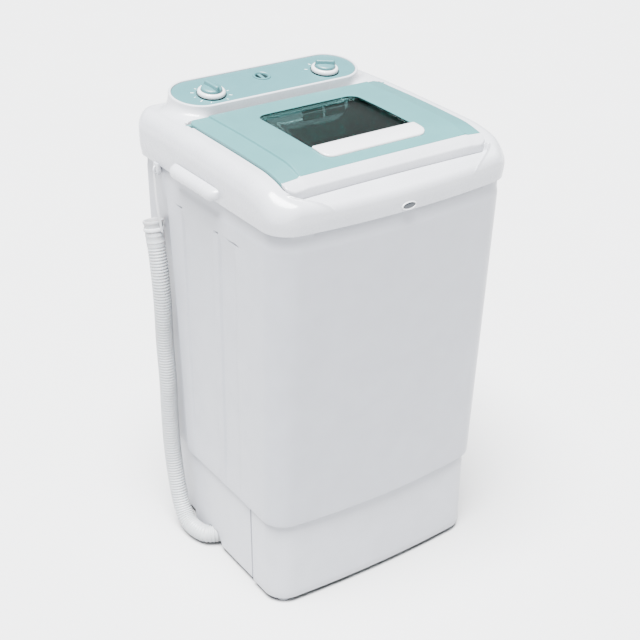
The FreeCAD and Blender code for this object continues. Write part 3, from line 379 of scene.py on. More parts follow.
def dress_frame():
    """Every CAD node gets the finish of its slot in the record."""
    for part in frame["record"]["subparts"]:
        obj = frame["nodes"][part["node"]]
        obj.data.materials.clear()
        obj.data.materials.append(MATERIALS[part["material_slot"]])


# ---------------------------------------------------------------- drain hose
def smooth_line(points):
    """Points along the NURBS spline of a route, read back in metres."""
    data = bpy.data.curves.new("route", "CURVE")
    data.dimensions = "3D"
    data.resolution_u = 48
    spline = data.splines.new("NURBS")
    spline.points.add(len(points) - 1)
    for target, p in zip(spline.points, points):
        target.co = (*(Vector(p) * MM), 1.0)
    spline.order_u = 3
    spline.use_endpoint_u = True
    holder = bpy.data.objects.new("route", data)
    bpy.context.scene.collection.objects.link(holder)
    mesh = bpy.data.meshes.new_from_object(holder)
    line = np.array([v.co[:] for v in mesh.vertices])
    bpy.data.objects.remove(holder)
    bpy.data.curves.remove(data)
    bpy.data.meshes.remove(mesh)
    return line


def resample(line, step):
    gaps = np.linalg.norm(np.diff(line, axis=0), axis=1)
    run = np.concatenate([[0.0], np.cumsum(gaps)])
    count = int(round(run[-1] / step))
    wanted = np.linspace(0.0, run[-1], count + 1)
    return np.column_stack([np.interp(wanted, run, line[:, k]) for k in range(3)]), wanted


def swept(line, radii, n):
    """Rings round a line, with no twist, in the line's own units."""
    tangents = np.gradient(line, axis=0)
    tangents /= np.linalg.norm(tangents, axis=1)[:, None]
    side = np.cross(tangents[0], (0.0, 1.0, 0.0))
    rings = []
    a = np.linspace(0, 2 * math.pi, n, endpoint=False)
    for centre, along, r in zip(line, tangents, radii):
        side = side - along * side.dot(along)
        side /= np.linalg.norm(side)
        up = np.cross(along, side)
        rings.append(centre + r * (np.outer(np.cos(a), side) + np.outer(np.sin(a), up)))
    return rings


def drain_hose():
    pitch, depth, wall = 4.2, 1.1, 1.6
    line = smooth_line(HOSE_ROUTE)
    line, run = resample(line / MM, pitch / 8)
    wave = 0.5 + 0.5 * np.cos(2 * math.pi * run / pitch)
    # short smooth ends, the corrugation between
    smooth_end = ease(run, 2.0, 8.0) * ease(run[-1] - run, 3.0, 9.0)
    outer = HOSE_R - 0.1 - depth * smooth_end * (1 - wave ** 0.7)
    rings = swept(line, outer, 28)
    rings += swept(line, outer - wall, 28)[::-1]
    hose = loft("corrugated_hose", rings, closed=True, smooth=60)
    piece(hose, "cabinet", "hose_plastic", "drain_hose")

    end, before = np.array(HOSE_ROUTE[-1], float), np.array(HOSE_ROUTE[-2], float)
    along = (end - before) / np.linalg.norm(end - before)
    profile = [(12.2, -0.5), (12.9, 0.2), (12.9, 1.2), (12.5, 2.0), (12.5, 8.0), (12.9, 8.8), (12.9, 10.2),
               (12.5, 11.0), (12.5, 24.5), (13.2, 25.6), (13.8, 26.6), (13.8, 28.6), (13.6, 29.7), (12.6, 30.0),
               (11.4, 29.7), (10.9, 29.0), (10.8, 20.0), (10.8, 0.0)]
    centres = np.array([end + along * s for _, s in profile])
    side = np.cross(along, (1.0, 0.0, 0.0))
    side /= np.linalg.norm(side)
    up = np.cross(along, side)
    a = np.linspace(0, 2 * math.pi, 56, endpoint=False)
    rings = [c + r * (np.outer(np.cos(a), side) + np.outer(np.sin(a), up)) for c, (r, _) in zip(centres, profile)]
    cuff = piece(loft("hose_end_cuff", rings, closed=True, smooth=40), "cabinet", "hose_plastic", "hose_cuff")


# ---------------------------------------------------------------- cabinet
def blend_plan(low, high, t):
    return tuple(a + (b - a) * t for a, b in zip(low, high))


NECK = (534.0, 546.0)           # height over which the housing steps in, under the cover
NECK_IN = 1.5
FLUTE_TOPS = (517.0, 514.0)
FLUTE_DEPTH = 2.2
NOTCHES = ((-65.5, 515.0), (-23.5, 515.0), (66.5, 516.0))      # y, z of the dents above the ribs


def flute_edges(z):
    """y of the four flute edges at height z, front to rear."""
    t = (518.0 - z) / (518.0 - BASE_TOP)
    return (-66.0 + 12.0 * t, -29.0 + 13.0 * t, -13.0 + 11.0 * t, 62.0 + 5.5 * t)


def side_stations(z, channel_z):
    """Side stations whose edges fall on the flutes and the hose channel."""
    edges = flute_edges(z)
    corner = float(curve(channel_z, CHANNEL_EDGE))

    def stations(y0, y1):
        ys = list(np.linspace(y0, edges[0] - 2.2, 6, endpoint=False))
        for k, edge in enumerate(edges):
            ys += [edge - 1.6, edge - 0.8, edge, edge + 0.8, edge + 1.6]
            last = edges[k + 1] - 3.0 if k < 3 else corner - 2.0
            ys += list(np.linspace(edge + 3.0, last, (3, 2, 5, 4)[k]))
        ys += [corner - 0.8, corner - 0.3, corner + 0.3]
        ys += list(np.linspace(corner + 1.5, y1, COUNTS[2] - len(ys), endpoint=False))
        return ys

    return stations


def flute_depth(y, z):
    depth = np.zeros(len(y))
    edges = flute_edges(z)
    for k in (0, 2):
        inside = ease(y, edges[k] - 1.7, edges[k] + 1.7) * (1 - ease(y, edges[k + 1] - 1.7, edges[k + 1] + 1.7))
        rise = float(ease(z, BASE_TOP, BASE_TOP + 60.0) * 0.8 + 0.2)
        top = FLUTE_TOPS[k // 2]
        depth += FLUTE_DEPTH * rise * inside * (1 - ease(z, top - 22.0, top + 2.0))
    for y0, z0 in NOTCHES:
        depth += 2.4 * np.exp(-((y - y0) / 4.6) ** 4) * math.exp(-((z - z0) / 1.1) ** 4)
    return depth


def cut_channel(plan, wall_x, z):
    """Points behind the channel's front edge stand no further out than its wall."""
    corner = float(curve(z, CHANNEL_EDGE))
    inside = (plan[:, 1] > corner) & (plan[:, 0] < wall_x)
    plan = plan.copy()
    plan[inside, 0] = wall_x
    return plan


def housing():
    def level(z, inset, fluted=True):
        t = (z - BASE_TOP) / (HOUSING_TOP - BASE_TOP)
        plan, normals = outline(*blend_plan(HOUSING_LOW, HOUSING_HIGH, t), inset=inset + NECK_IN * ease(z, *NECK),
                                side_ys=side_stations(z, z))
        if fluted:
            flat_side = np.abs(normals[:, 0]) > 0.999
            depth = flute_depth(plan[:, 1], z) * flat_side
            plan = plan - normals * depth[:, None]
        return ring(cut_channel(plan, HOUSING_CHANNEL_X + inset, z), z)

    outer = [(BASE_TOP, 7.0), (BASE_TOP, 2.2), (BASE_TOP + 0.5, 0.9), (BASE_TOP + 1.6, 0.2), (BASE_TOP + 3.2, 0.0)]
    outer += [(z, 0.0) for z in np.linspace(BASE_TOP + 14.0, 500.0, 26)]
    outer += [(z, 0.0) for z in (508.0, 511.0, 512.2, 513.2, 514.2, 515.2, 516.2, 517.2, 518.2, 519.4, 521.0)]
    outer += [(z, 0.0) for z in (524.0, 530.0, 534.0, 536.0, 538.0, 540.0, 542.0, 544.0, 546.0, 551.0)]
    outer += [(HOUSING_TOP - 1.2, 0.0)]
    outer += [(HOUSING_TOP - 0.3, 0.5), (HOUSING_TOP, 1.4)]
    inner = [(HOUSING_TOP, 3.2), (544.0, 3.2), (536.0, 4.5), (300.0, 4.5), (BASE_TOP + 4.0, 4.5), (BASE_TOP, 7.0)]
    rings = [level(z, inset) for z, inset in outer] + [level(z, inset, False) for z, inset in inner[:-1]]
    piece(loft("cabinet_shell", rings, closed=True, smooth=32), "cabinet", "white_body", "tub_housing")


def base_shell():
    door = [(12.9, 8.0), (13.1, 8.5), (18.0, 20.0), (25.0, 26.5), (45.0, 27.0), (53.0, 18.0), (58.0, 8.0)]

    def stations(y0, y1):
        ys = [y0, *SEAM_GROOVE[:1], SEAM_GROOVE[0] + 0.1, SEAM_GROOVE[1] - 0.1, *SEAM_GROOVE[1:], -60.0]
        ys += [-45.0, -30.0, -10.0, 12.8, 13.2, 15.0, 17.0, 18.5, 20.5, 23.0, 25.0, 27.0, 32.0]
        ys += list(np.linspace(38.0, 84.5, 11))
        ys += [86.6, 87.1, 87.7, 88.2, 92.0, 98.0, 103.5, 104.5]
        return ys + list(np.linspace(108.0, y1, COUNTS[2] - len(ys), endpoint=False))

    def level(t, inset, lift=0.0):
        plan, _ = outline(*blend_plan(BASE_LOW, BASE_HIGH, t), inset=inset, side_ys=stations)
        left = plan[:, 0] < -100.0
        inside = left & (plan[:, 1] > 87.4) & (plan[:, 0] < BASE_CHANNEL_X + inset)
        plan[inside, 0] = BASE_CHANNEL_X + inset
        groove = (plan[:, 1] > SEAM_GROOVE[0] + 0.05) & (plan[:, 1] < SEAM_GROOVE[1] - 0.05)
        groove &= np.abs(plan[:, 0]) > 100.0
        if inset < WALL:
            plan[groove, 0] -= np.sign(plan[groove, 0]) * 2.6
        low = np.full(len(plan), BASE_FLOOR)
        doorway = left & (plan[:, 1] > 13.0) & (plan[:, 1] < 60.0)
        low[doorway] = np.interp(plan[doorway, 1], *np.array(door).T)
        return ring(plan, low + lift + (BASE_TOP - low) * t)

    rings = [level(0.0, 2.6), level(0.0, 1.0, 0.2), level(0.0, 0.2, 1.0)]
    rings += [level(t, 0.0) for t in np.linspace(0.03, 0.985, 12)] + [level(1.0, 0.8)]
    rings += [level(1.0, WALL), level(0.5, WALL), level(0.03, WALL)]
    piece(loft("base_shell", rings, closed=True, smooth=32), "cabinet", "white_base", "base_body")


def base_cap():
    """Front cap of the base: stands slightly proud and ends in a vertical seam on each side."""
    end_y = SEAM_GROOVE[0]
    levels = [(BASE_FLOOR, 1.6), (BASE_FLOOR + 0.3, 0.6), (BASE_FLOOR + 1.5, 0.0)]
    levels += [(z, 0.0) for z in np.linspace(20.0, BASE_TOP - 2.2, 8)]
    levels += [(BASE_TOP - 0.6, 0.4), (BASE_TOP, 1.2), (BASE_TOP, 3.4), (70.0, 3.4), (BASE_FLOOR, 3.4)]

    def strip(z, inset):
        t = (z - BASE_FLOOR) / (BASE_TOP - BASE_FLOOR)
        half_w, front, rear, bow, r_front, r_rear = blend_plan(BASE_LOW, BASE_HIGH, t)
        plan, _ = outline(half_w + 1.6, front - 1.6, rear, bow, r_front, r_rear, inset,
                          lambda y0, y1: np.concatenate([np.linspace(y0, end_y, 8),
                                                         np.linspace(end_y + 1.0, y1, COUNTS[2] - 8,
                                                                     endpoint=False)]))
        last = COUNTS[0] + COUNTS[1] + 8
        return ring(np.concatenate([plan[-last + 1:], plan[:last]]), z)

    strips = np.array([strip(z, inset) for z, inset in levels])
    rows, columns = strips.shape[:2]
    faces = []
    for i in range(rows):
        k = (i + 1) % rows
        for j in range(columns - 1):
            faces.append((i * columns + j, i * columns + j + 1, k * columns + j + 1, k * columns + j))
    faces.append(tuple(i * columns for i in range(rows)))
    faces.append(tuple(i * columns + columns - 1 for i in reversed(range(rows))))
    cap = add_object("base_front_panel", strips.reshape(-1, 3), faces, 32)
    piece(cap, "cabinet", "white_base", "base_front_cap")


# ---------------------------------------------------------------- top cover
def applied(obj):
    """The object with its modifiers made real."""
    graph = bpy.context.evaluated_depsgraph_get()
    mesh = bpy.data.meshes.new_from_object(obj.evaluated_get(graph))
    obj.modifiers.clear()
    old = obj.data
    obj.data = mesh
    bpy.data.meshes.remove(old)
    return obj


def cut_with(obj, cutters):
    """Cut closed pieces out of a moulding and discard them."""
    for cutter in cutters:
        modifier = obj.modifiers.new("cut", "BOOLEAN")
        modifier.operation = "DIFFERENCE"
        modifier.object = cutter
    applied(obj)
    for cutter in cutters:
        bpy.data.objects.remove(cutter)
    obj.data.shade_smooth()
    obj.data.set_sharp_from_angle(angle=math.radians(28))


SHOULDER = [(-185, 586.5), (-175, 590.5), (-165, 594.5), (-155, 598), (-145, 602), (LID_SPLIT, 606.5), (-120, 610.5),
            (-95, 613.8), (30, 616.8), (80, 617.5), (120, 617), (170, 616), (185, 615.5)]
APRON = [(-185, 585.5), (-176, 587.6), (-165, 589.8), (-149.5, 592.2), (-140, 593)]
APRON_EDGE = [(-190, 60), (-180.5, 92), (-169.5, 119), (-158, 137), (-149.5, 146), (-140, 152)]   # y, half width


def top_height(x, y):
    """Height of the cover's top: side shoulders, and the lower apron in front of the lid."""
    reach = np.abs(x)
    shoulder = curve(y, SHOULDER)
    apron = curve(y, APRON) + 1.6 * (1 - (x / 146.0) ** 2)
    outside = apron + (shoulder - apron) * ease(reach, 84.0, 122.0)
    inside = ease(curve(y, APRON_EDGE) - reach, -1.8, 2.6)
    inside = inside * (1 - ease(y, -150.0, -146.0))
    edge = reach - curve(y, APRON_EDGE) - 1.6
    lip = 2.0 * np.exp(-(edge / 1.7) ** 2) * ease(reach, 84.0, 108.0) * (1 - ease(y, -152.0, -147.0))
    return outside + (apron - outside) * inside + lip


def roll_sizes(normals):
    """How far in and how far down the edge rolls, by the way that it faces."""
    nx2 = normals[:, 0] ** 2
    front = np.where(normals[:, 1] < 0, normals[:, 1] ** 2, 0.0)
    rear = np.where(normals[:, 1] > 0, normals[:, 1] ** 2, 0.0)
    corner = 4 * nx2 * front
    wide = 20.0 * nx2 + 6.5 * front + 12.0 * rear + 7.0 * corner
    tall = 25.0 * nx2 + 9.0 * front + 17.0 * rear + 4.0 * corner
    return wide, tall


def cover_surface(x, y):
    """Height of the cover at a point behind the lid, edge roll included."""
    half_w, _, rear, _, _, r = COVER
    qx, qy = np.abs(x) - (half_w - r), y - (rear - r)
    depth = r - np.where((qx > 0) & (qy > 0), np.hypot(qx, qy), np.maximum(qx, qy))
    angle = np.arctan2(np.maximum(qy, 0.001), np.maximum(qx, 0.001))
    normals = np.column_stack([np.cos(angle), np.sin(angle)])
    flat_x, flat_y = qy <= 0, (qx <= 0) & (qy > 0)
    normals[flat_x] = (1.0, 0.0)
    normals[flat_y] = (0.0, 1.0)
    wide, tall = roll_sizes(normals)
    t = np.clip(1 - depth / wide, 0.0, 1.0)
    return top_height(x, y) - tall * (1 - np.sqrt(1 - t * t))


def top_cover():
    edge, normals = outline(*COVER)
    wide, tall = roll_sizes(normals)
    crest = top_height(edge[:, 0], edge[:, 1]) - tall

    def inward(distance):
        return edge - normals * np.reshape(distance, (-1, 1)) if np.ndim(distance) else edge - normals * distance

    rings = [ring(inward(3.2), SEAM_Z + 0.6), ring(inward(3.2), SEAM_Z - 1.6), ring(inward(2.6), SEAM_Z - 2.2),
             ring(inward(2.0), SEAM_Z - 1.9), ring(inward(1.8), SEAM_Z - 1.0), ring(inward(1.4), SEAM_Z + 3.0),
             ring(inward(0.5), SEAM_Z + 8.0)]
    for t in np.linspace(0.0, 1.0, 4)[:-1]:
        rings.append(ring(inward(0.0), SEAM_Z + 14.0 + (crest - SEAM_Z - 14.0) * t))
    for a in np.linspace(0.0, math.pi / 2, 15)[:-1]:
        plan = inward(wide * (1 - math.cos(a)))
        rings.append(ring(plan, top_height(plan[:, 0], plan[:, 1]) - tall * (1 - math.sin(a))))
    start = inward(wide)
    seat, _ = outline(*SEAT, inset=-1.2)
    for t in np.linspace(0.0, 1.0, 34):
        plan = start + (seat - start) * t
        rings.append(ring(plan, top_height(plan[:, 0], plan[:, 1])))
    seat_z = top_height(seat[:, 0], seat[:, 1])
    lip, _ = outline(*SEAT, inset=-0.35)
    wall, _ = outline(*SEAT)
    rings += [ring(lip, seat_z - 0.25), ring(wall, seat_z - 1.1)]
    lid_low = curve(seat[:, 1], LID_LINE) - LID_SKIRT - 1.0
    ledge_z = np.minimum(np.where(seat[:, 1] < -140.0, seat_z, lid_low), seat_z) - 1.2
    ledge_z = ledge_z - 7.5 * ease(seat[:, 1], 40.0, 62.0)      # trough that the lid's rear edge swings into
    inner, _ = outline(*OPENING, r_front=30.0, r_rear=30.0)
    low_lip, _ = outline(*OPENING, r_front=30.0, r_rear=30.0, inset=-1.5)
    floor, _ = outline(*SEAT, inset=1.0)
    rings += [ring(wall, ledge_z), ring(floor, ledge_z), ring(low_lip, ledge_z), ring(inner, ledge_z - 1.2),
              ring(inner, SEAM_Z + 1.0)]
    outer_low, _ = outline(*OPENING, r_front=33.0, r_rear=33.0, inset=-WALL)
    rings += [ring(outer_low, SEAM_Z + 0.6)]
    cover = loft("top_cover_moulding", rings, closed=True, smooth=28)
    slots = []
    for side in (-1, 1):
        plan = outline(1.9, -10.0, 10.0, 0.01, 1.2, 1.2, counts=(3, 4, 3, 3))[0] + np.array([side * 148.8, 73.0])
        slots.append(loft("hinge_slot", [ring(plan, 609.5), ring(plan, 630.0)], caps=True))
    under_panel, _ = pill(PANEL_HALF_L, PANEL_HALF_H, PANEL_MID, -8.0)
    under_panel = under_panel + np.array([0.0, PANEL_Y])
    well = loft("control_well", [ring(under_panel, 540.0), ring(under_panel, 645.0)], caps=True)
    cut_with(cover, [well] + slots)
    piece(cover, "cabinet", "white_cover", "top_cover")


def fill_outlet():
    """Twin outlet of the fill water, high on the rear wall of the loading opening."""
    frames = []
    for x in (26.5, 61.5):
        for w, h, y in ((15.8, 4.6, 58.6), (13.8, 2.9, 58.2)):
            plan = outline(w, -h, h, 0.01, 1.5, 1.5, counts=(3, 4, 3, 3))[0]
            frames.append([np.column_stack([x + plan[:, 0], np.full(len(plan), at), 598.5 + plan[:, 1]])
                           for at in (y, OPENING[2] - 0.3)])
    obj = lofts("fill_outlet_grilles", frames)
    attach(obj, "cabinet")
    obj.data.materials.append(MATERIALS["filter_teal"])


def pill(half_l, half_h, mid, grow=0.0, n_end=40, n_run=36):
    """Stadium outline in panel coordinates: points and outward normals."""
    r = half_h + grow
    straight = half_l - half_h
    points, normals = [], []
    for start, centre in ((-90.0, straight), (90.0, -straight)):
        for a in np.radians(np.linspace(start, start + 180.0, n_end, endpoint=False)):
            points.append((centre + r * math.cos(a), mid + r * math.sin(a)))
            normals.append((math.cos(a), math.sin(a)))
        sign = 1 if start < 0 else -1
        for x in np.linspace(straight, -straight, n_run, endpoint=False):
            points.append((sign * x, mid + sign * r))
            normals.append((0.0, float(sign)))
    return np.array(points), np.array(normals)


def panel_ring(grow, w):
    plan, _ = pill(PANEL_HALF_L, PANEL_HALF_H, PANEL_MID, grow)
    return on_panel(ring(plan, w))


def control_hump():
    """Raised rear housing: a lip round the panel, then a hollow sweep down into the cover."""
    _, normals = pill(PANEL_HALF_L, PANEL_HALF_H, PANEL_MID)
    rings = [panel_ring(0.35, -2.6), panel_ring(0.35, 0.2), panel_ring(0.6, 0.75), panel_ring(1.2, 1.1),
             panel_ring(2.0, 1.15), panel_ring(2.9, 0.85), panel_ring(3.6, 0.1)]
    top = panel_ring(3.9, -1.2)
    front = np.where(normals[:, 1] < 0, normals[:, 1] ** 2, 0.0)
    rear = np.where(normals[:, 1] > 0, normals[:, 1] ** 2, 0.0)
    reach = 3.2 * front + 17.0 * normals[:, 0] ** 2 + 8.6 * rear - 14.0 * normals[:, 0] ** 2 * rear
    foot = top[:, :2] + normals * reach[:, None]
    foot_z = cover_surface(foot[:, 0], foot[:, 1])
    for a in np.radians(np.linspace(0.0, 90.0, 16)):
        plan = top[:, :2] + normals * (reach * (1 - math.cos(a)))[:, None]
        rings.append(ring(plan, top[:, 2] + (foot_z - top[:, 2]) * math.sin(a)))
    plan = foot + normals * np.where(normals[:, 1] < -0.5, 0.5, 2.2)[:, None]
    rings.append(ring(plan, cover_surface(plan[:, 0], plan[:, 1]) - 0.7))
    rings += [ring(foot, foot_z - 5.0), ring(foot - normals * 2.0, foot_z - 5.0)]
    rings += [ring(top[:, :2] - normals * 0.6, foot_z - 2.0), ring(top[:, :2] - normals * 2.6, top[:, 2] - 4.0)]
    rings += [panel_ring(-3.0, -6.0), panel_ring(-3.0, -2.6)]
    hump = loft("control_hump", rings, closed=True, smooth=28)
    piece(hump, "cabinet", "white_cover", "control_housing")


def control_face():
    """Coloured panel with a sunk well round each knob and a hole for the inlet; the sunk faces of the wells carry
    painted shade, a near-black teal.
    """
    rings = [panel_ring(-0.1, -2.0), panel_ring(-0.1, -0.5), panel_ring(-0.4, -0.12), panel_ring(-0.9, 0.0)]
    face = loft("control_face", rings, caps=True, smooth=28)
    wells = [(side * KNOB_X, KNOB_V, 20.0, -1.4) for side in (-1, 1)] + [(0.0, INLET_V, INLET_R + 2.3, -5.0)]
    cut_with(face, [lofts("well", [[on_panel(circle(r, w, x, v, 72)) for w in (depth, 6.0)]])
                    for x, v, r, depth in wells])
    piece(face, "cabinet", "teal_panel", "control_panel")
    # Second material: painted shade for the floors and walls of the wells, picked out by depth below the panel
    face.data.materials.append(MATERIALS["painted_gap_shade"])
    normal = Vector((0.0, -math.sin(TILT), math.cos(TILT)))
    origin = Vector((0.0, PANEL_Y, PANEL_Z)) * MM
    for polygon in face.data.polygons:
        depth = (polygon.center - origin).dot(normal) / MM
        near = min(math.hypot(polygon.center.x / MM - x, (polygon.center.y / MM - PANEL_Y) / math.cos(TILT) - v)
                   for x, v, _, _ in wells)
        if near < 21.0 and depth < -0.3:
            polygon.material_index = 1


def knob_parts():
    skirt = [(9.0, 0.6), (17.6, 0.6), (18.3, 0.9), (18.5, 1.6), (18.5, 3.2), (18.2, 4.4), (17.4, 5.5), (16.4, 6.2),
             (15.4, 6.4), (14.6, 6.2), (14.25, 5.7), (14.2, 5.0), (14.2, 2.3), (9.0, 2.3)]
    drum = [(0.6, 2.4), (13.9, 2.4), (13.9, 7.6), (13.6, 8.7), (12.8, 9.5), (11.2, 10.1), (8.0, 10.6), (4.0, 10.9),
            (0.6, 11.0)]
    bar = [(5.0, 14.0, 8.6), (4.0, 13.7, 10.2), (3.5, 13.5, 11.5), (3.2, 13.3, 13.8), (2.8, 12.9, 14.7),
           (2.0, 12.2, 15.3), (0.9, 11.2, 15.5)]
    for side, body, prefix, turn in ((-1, "timer_dial", "timer", 10.0), (1, "selector_dial", "selector", 63.0)):
        x = side * KNOB_X
        rings = [on_panel(circle(r, w, x, KNOB_V)) for r, w in skirt]
        piece(loft(prefix + "_knob_skirt", rings, closed=True), body, "white_knob", prefix + "_knob")
        a = math.radians(turn)
        bar_rings = []
        for half_w, half_l, w in bar:
            plan, _ = pill(half_l, half_w, 0.0, n_end=14, n_run=8)
            u, v = -plan[:, 1], plan[:, 0]
            plan = np.column_stack([x + u * math.cos(a) - v * math.sin(a),
                                    KNOB_V + u * math.sin(a) + v * math.cos(a)])
            bar_rings.append(on_panel(ring(plan, w)))
        drum_rings = [on_panel(circle(r, w, x, KNOB_V)) for r, w in drum]
        cap = lofts(prefix + "_knob_cap", [drum_rings, bar_rings])
        piece(cap, body, "teal_panel", prefix + "_knob_grip")


def panel_print():
    """Plain pale scale marks round the two knobs."""
    marks = []
    plans = ((-1, list(range(-150, 151, 30)), 23.0), (1, [-60, -20, 20, 60], 23.5))
    for side, angles, start in plans:
        for angle in angles:
            a = math.radians(90 + angle)
            long_mark = angle % 60 == 0 or side > 0
            length, half = (3.6, 0.45) if long_mark else (2.2, 0.35)
            plan, _ = pill(length / 2 + half, half, 0.0, n_end=6, n_run=2)
            along = plan[:, 0] + start + length / 2
            spot = np.column_stack([side * KNOB_X + along * math.cos(a) - plan[:, 1] * math.sin(a),
                                    KNOB_V + along * math.sin(a) + plan[:, 1] * math.cos(a)])
            marks.append([on_panel(ring(spot, -0.05)), on_panel(ring(spot, 0.06))])
    obj = lofts("panel_scale_marks", marks)
    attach(obj, "cabinet")
    obj.data.materials.append(MATERIALS["print_pale"])


def inlet_port():
    profile = [(11.6, -3.0), (12.4, -0.2), (12.5, 0.6), (12.1, 1.2), (11.3, 1.4), (10.2, 1.3), (9.3, 0.9),
               (8.6, 0.0), (8.2, -1.6), (8.0, -4.0), (8.0, -33.0), (9.6, -33.0), (9.9, -5.0)]
    rings = [on_panel(circle(r, w, 0.0, INLET_V)) for r, w in profile]
    collar = loft("inlet_collar", rings, closed=True)
    strip = outline(2.2, -8.2, 8.2, 0.01, 0.5, 0.5, counts=(2, 3, 3, 2))[0] + np.array([0.0, INLET_V])
    bridge = loft("inlet_bridge", [on_panel(ring(strip, -3.4)), on_panel(ring(strip, -0.9))], caps=True)
    port = piece(joined(collar, bridge), "cabinet", "teal_panel", "water_inlet_port")
    # Faces deeper than 1.4 mm in the bore get the near-black material: painted shade inside the hole
    port.data.materials.append(MATERIALS["painted_gap_shade"])
    normal = Vector((0.0, -math.sin(TILT), math.cos(TILT)))
    origin = Vector((0.0, PANEL_Y, PANEL_Z)) * MM
    for polygon in port.data.polygons:
        if (polygon.center - origin).dot(normal) / MM < -1.4:
            polygon.material_index = 1


# ---------------------------------------------------------------- lid
def lid_top(x, y):
    aside, behind = LID_HALF_W - np.abs(x), LID_REAR - y
    across = LID_BAND_RISE * np.clip(aside / LID_SIDE_BAND, 0.0, 1.0) + LID_STEP * ease(aside, *LID_SIDE_STEP)
    along = LID_BAND_RISE * np.clip(behind / LID_REAR_BAND, 0.0, 1.0) + LID_STEP * ease(behind, *LID_REAR_STEP)
    crown = LID_CROWN * (1 - (x / LID_HALF_W) ** 2) * np.clip(behind / LID_REAR_BAND, 0.0, 1.0)
    fade = 0.35 + 0.65 * ease(y, LID_FRONT, LID_FRONT + 42.0)
    return curve(y, LID_LINE) + (np.minimum(across, along) + crown) * fade


def lid_ring(plan, drop):
    return ring(plan, lid_top(plan[:, 0], plan[:, 1]) - drop)


def lid_frame():
    def edge(inset):
        return outline(LID_HALF_W, LID_SPLIT, LID_REAR, 0.01, 0.8, LID_R, inset)[0]

    def hole(inset):
        return outline(*WINDOW, 0.01, 2.4, LID_R, inset)[0]

    def crease(inset):
        low, high = LID_HALF_W - LID_SIDE_BAND - inset, LID_REAR - LID_REAR_BAND - inset
        return outline(low, LID_SPLIT + 2.0, high, 0.01, 0.8, 5.0)[0]

    rings = [lid_ring(edge(0.8), LID_SKIRT), lid_ring(edge(0.0), LID_SKIRT - 0.6), lid_ring(edge(0.0), 1.6),
             lid_ring(edge(0.25), 0.7), lid_ring(edge(0.8), 0.2), lid_ring(edge(1.7), 0.0)]
    start = edge(1.7)
    for t in np.linspace(0.0, 1.0, 11)[1:]:
        rings.append(lid_ring(start + (crease(0.0) - start) * t, 0.0))
    rings += [lid_ring(crease(k), 0.0) for k in (0.3, 0.8, 1.3, 1.8)]
    stop = hole(-1.2)
    for t in np.linspace(0.0, 1.0, 16)[1:]:
        rings.append(lid_ring(crease(1.8) + (stop - crease(1.8)) * t, 0.0))
    rings += [lid_ring(hole(-0.4), 0.25), lid_ring(hole(0.0), 1.0), lid_ring(hole(0.0), 2.5)]
    for t in np.linspace(0.0, 1.0, 9)[1:]:
        rings.append(lid_ring(hole(0.0) + (edge(2.5) - hole(0.0)) * t, 2.5))
    rings.append(lid_ring(edge(2.5), LID_SKIRT))
    frame_piece = loft("lid_teal_frame", rings, closed=True, smooth=24)
    piece(frame_piece, "lid", "teal_lid", "lid_frame")


def lid_band():
    """White front edge of the lid, rolled down to its front face."""
    corner = 12.0
    columns = []
    xs = np.concatenate([np.linspace(-LID_HALF_W, -LID_HALF_W + corner, 12, endpoint=False),
                         np.linspace(-LID_HALF_W + corner, LID_HALF_W - corner, 61),
                         np.linspace(LID_HALF_W - corner, LID_HALF_W, 13)[1:]])
    for x in xs:
        over = max(abs(x) - (LID_HALF_W - corner), 0.0)
        front = LID_FRONT + corner - math.sqrt(max(corner ** 2 - over ** 2, 0.0))
        front = min(front, LID_SPLIT - 2.0)
        depth = LID_SPLIT - front
        top = [(front + depth * t, 0.0) for t in np.linspace(0.30, 1.0, 7)]
        roll = [(front, BAND_SKIRT), (front, 3.4), (front + depth * 0.02, 2.0), (front + depth * 0.07, 0.9),
                (front + depth * 0.16, 0.2)]
        under = [(LID_SPLIT, 2.5), (front + depth * 0.5, 2.6), (front + depth * 0.28, 3.6),
                 (front + depth * 0.25, BAND_SKIRT)]
        section = roll + top + under
        ys = np.array([s[0] for s in section])
        drops = np.array([s[1] for s in section])
        at = np.full(len(ys), float(x))
        heights = lid_top(at, np.maximum(ys, front + depth * 0.16)) - drops
        low = float(top_height(at[:1] * 1.01, np.array([front - 1.4]))[0]) - 0.5
        heights[[0, -1]] = low
        heights[-2] = max(heights[-2], low + 0.5)
        columns.append(np.column_stack([at, ys, heights]))
    band = loft("lid_white_band", columns, caps=True, smooth=30)
    piece(band, "lid", "white_cover", "lid_front_band")


def shrunk(plan, k):
    middle = np.array([0.0, (WINDOW[1] + WINDOW[2]) / 2])
    return middle + (plan - middle) * k


def lid_window():
    """Tinted tray let into the frame: upright rim and a sunk pane."""
    def at(inset):
        return outline(*WINDOW, 0.01, 2.4, LID_R, inset, counts=(24, 10, 16, 12))[0]

    floor, rim = at(3.2), at(0.15)
    rings = [lid_ring(shrunk(rim, k), 7.0) for k in (0.03, 0.25, 0.5, 0.75)]
    rings += [lid_ring(at(1.2), 7.0), lid_ring(at(0.3), 6.4), lid_ring(rim, 5.6), lid_ring(rim, 0.9),
              lid_ring(at(0.5), 0.6), lid_ring(at(1.4), 0.7), lid_ring(at(1.7), 1.2), lid_ring(at(1.9), 4.0),
              lid_ring(at(2.3), 4.8), lid_ring(floor, 5.1)]
    rings += [lid_ring(shrunk(floor, k), 5.1) for k in (0.75, 0.5, 0.25, 0.03)]
    piece(loft("tinted_window", rings, caps=True, smooth=35), "lid", "window_tint", "lid_window")


